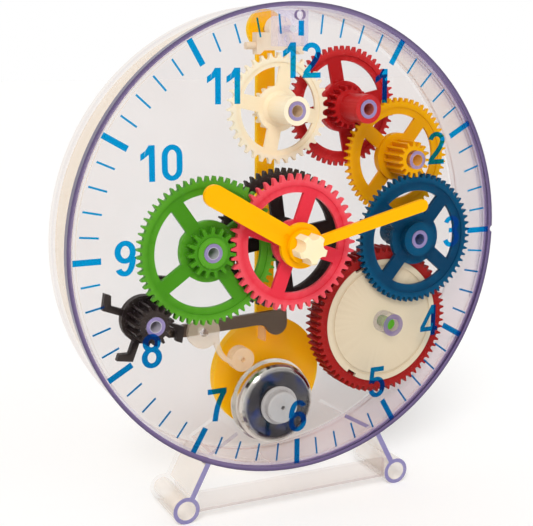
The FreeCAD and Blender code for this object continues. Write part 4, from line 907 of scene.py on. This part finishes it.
def arc(x, y, across, up, first, last):
    # points along an ellipse, bearings counter-clockwise from the right in degrees
    steps = max(2, round(abs(last - first) / 90 * figure["arcSteps"]))
    turns = [math.radians(first + (last - first) * k / steps) for k in range(steps + 1)]
    return [(x + across * math.cos(turn), y + up * math.sin(turn)) for turn in turns]


def stroke(points):
    # quads along a line, wider where it runs up than where it runs across
    edges = []
    for k, (x, y) in enumerate(points):
        before, after = points[max(k - 1, 0)], points[min(k + 1, len(points) - 1)]
        along = Vector((after[0] - before[0], after[1] - before[1])).normalized()
        side = Vector((-along.y * figure["upright"] / 2, along.x * figure["level"] / 2))
        edges.append(((x + side.x, y + side.y), (x - side.x, y - side.y)))
    return [[a[0], a[1], b[1], b[0]] for a, b in zip(edges, edges[1:])]


def zeroStrokes():
    straight = 2.1
    curve = topLine - straight
    line = arc(0, straight, sideLine, curve, 0, 180) + arc(0, -straight, sideLine, curve, 180, 360)
    return stroke(line + line[:2])


def oneStrokes():
    stem = figure["upright"] / 2
    top = figure["top"]
    post = [(-stem, -top), (stem, -top), (stem, top), (-stem, top)]
    shoulder = [(-stem, 2.9), (-stem, top), (-0.95 * stem - 1.2, 4.3), (-2.6, 1.75)]
    flag = [(-2.6, 1.75), (-2.3, 4.2), (-3.95, 3.1), (-3.95, 1.0)]
    return [post, shoulder, flag]


def twoStrokes():
    base = figure["level"] + 0.1
    bowl = 2.75
    line = arc(0, bowl, sideLine, topLine - bowl, 172, -20)
    line += [(1.75, 0.35), (0.3, -1.6), (-1.5, -3.5), (-2.35, -4.7)]
    low = -figure["top"]
    foot = [(-figure["half"], low), (figure["half"], low), (figure["half"], low + base), (-2.9, low + base)]
    return stroke(line) + [foot]


def threeStrokes():
    waist = 0.45
    upper = (topLine - waist) / 2
    lower = (topLine + waist) / 2
    small = arc(-0.05, waist + upper, sideLine - 0.25, upper, 165, -90)
    large = arc(0, waist - lower, sideLine, lower, 90, -163)
    bar = [(-1.1, waist), (0.2, waist)]
    return stroke(small) + stroke(large) + stroke(bar)


def fourStrokes():
    top = figure["top"]
    post = [(0.8, -top), (2.9, -top), (2.9, top), (0.8, top)]
    bar = [(-3.9, -4.2), (3.9, -4.2), (3.9, -2.45), (-3.9, -2.45)]
    slant = [(-3.9, -2.45), (-1.9, -2.45), (1.6, 3.85), (0.9, top)]
    return [post, bar, slant]


def fiveStrokes():
    top = figure["top"]
    bar = [(-2.7, top - 1.9), (3.0, top - 1.9), (3.0, top), (-2.7, top)]
    side = [(-3.4, -0.35), (-1.5, -0.1), (-0.8, top), (-2.7, top)]
    bowl = 1.95
    return [bar, side] + stroke(arc(0, -bowl, sideLine, topLine - bowl, 146, -160))


def sixStrokes():
    hook = arc(0.15, 3.0, 2.3, topLine - 3.0, 14, 90)
    back = arc(0.15, -0.4, sideLine + 0.15, topLine + 0.4, 90, 180)
    bowl = arc(0, -2.15, sideLine, topLine - 2.15, 180, 540)
    return stroke(hook + back[1:]) + stroke(bowl + bowl[1:2])


def sevenStrokes():
    top = figure["top"]
    bar = [(-3.6, top - 1.95), (3.6, top - 1.95), (3.6, top), (-3.6, top)]
    line = [(2.65, 4.6), (1.75, 3.1), (0.85, 1.3), (0.1, -0.8), (-0.45, -3.2), (-0.9, -top)]
    return [bar] + stroke(line)


def eightStrokes():
    waist = 0.5
    upper = (topLine - waist) / 2
    lower = (topLine + waist) / 2
    small = arc(0, waist + upper, sideLine - 0.4, upper, 0, 360)
    large = arc(0, waist - lower, sideLine, lower, 0, 360)
    return stroke(small + small[1:2]) + stroke(large + large[1:2])


def nineStrokes():
    return [[(-x, -y) for x, y in quad] for quad in sixStrokes()]


drawFigure = {
    "0": zeroStrokes, "1": oneStrokes, "2": twoStrokes, "3": threeStrokes, "4": fourStrokes,
    "5": fiveStrokes, "6": sixStrokes, "7": sevenStrokes, "8": eightStrokes, "9": nineStrokes,
}


def addFigure(text):
    # overlapping strokes are cut into triangles of one flat outline, so that no spot is printed twice
    corners, faces = [], []
    across, up = figure["places"][text]
    for k, digit in enumerate(text):
        shift = across + (k - (len(text) - 1) / 2) * figure["pitch"]
        for polygon in drawFigure[digit]():
            faces.append(list(range(len(corners), len(corners) + len(polygon))))
            corners += [Vector((x + shift, y + up)) for x, y in polygon]
    points, _, triangles, _, _, origins = delaunay_2d_cdt(corners, [], faces, 1, figure["weld"])
    places = [(point.x / mmPerMetre, dialMiddle.z + point.y / mmPerMetre) for point in points]
    inked = [triangle for triangle, origin in zip(triangles, origins) if origin]  # those in a stroke
    shape = bmesh.new()
    back = dialFront - dialPrint["lift"]
    addPrism(shape, places, inked, back - dialPrint["depth"], back)
    bmesh.ops.delete(shape, geom=[dot for dot in shape.verts if not dot.link_faces], context="VERTS")
    finish = "deepInk" if text in dialPrint["deepFigures"] else "printInk"
    addPiece("figure" + text, shape, "case", finish)


firstDeep, pastDeep = dialPrint["deepTicks"]
addTicks("ticksAtFoot", range(firstDeep, pastDeep), "deepInk")
addTicks("ticksAbove", [*range(firstDeep), *range(pastDeep, dialPrint["minutes"])], "printInk")
for text in figure["places"]:
    addFigure(text)
print("dial printed")


# the leg plates run on until they meet the two rims of the drum

legTop = {
    "outer": (0.036344, 0.021020),  # upper corners of a leg plate, across and up
    "inner": (0.034568, 0.020102),
    "rims": (
        {"front": -0.01365, "back": -0.01045, "reach": 0.08393},  # reach is from the dial's middle
        {"front": 0.00735, "back": 0.01095, "reach": 0.08328},
    ),
}


def addLegTop(name, side):
    outer, inner = (
        Vector((side * across, up - dialMiddle.z)) for across, up in (legTop["outer"], legTop["inner"])
    )
    width = inner - outer
    rise = Vector((side * width.y, -side * width.x)).normalized()
    shape = bmesh.new()
    for rim in legTop["rims"]:
        outline = [outer]
        for corner in (outer, inner):
            along = corner.dot(rise)
            step = -along - math.sqrt(along * along - corner.length_squared + rim["reach"] ** 2)
            outline.append(corner + rise * step)
        outline.append(inner)
        places = [(x, z + dialMiddle.z) for x, z in outline]
        addPrism(shape, places, [range(len(places))], rim["front"], rim["back"])
    addPiece(name, shape, "case", "clearStand")


addLegTop("leftLegTop", -1)
addLegTop("rightLegTop", 1)
print("leg tops added")
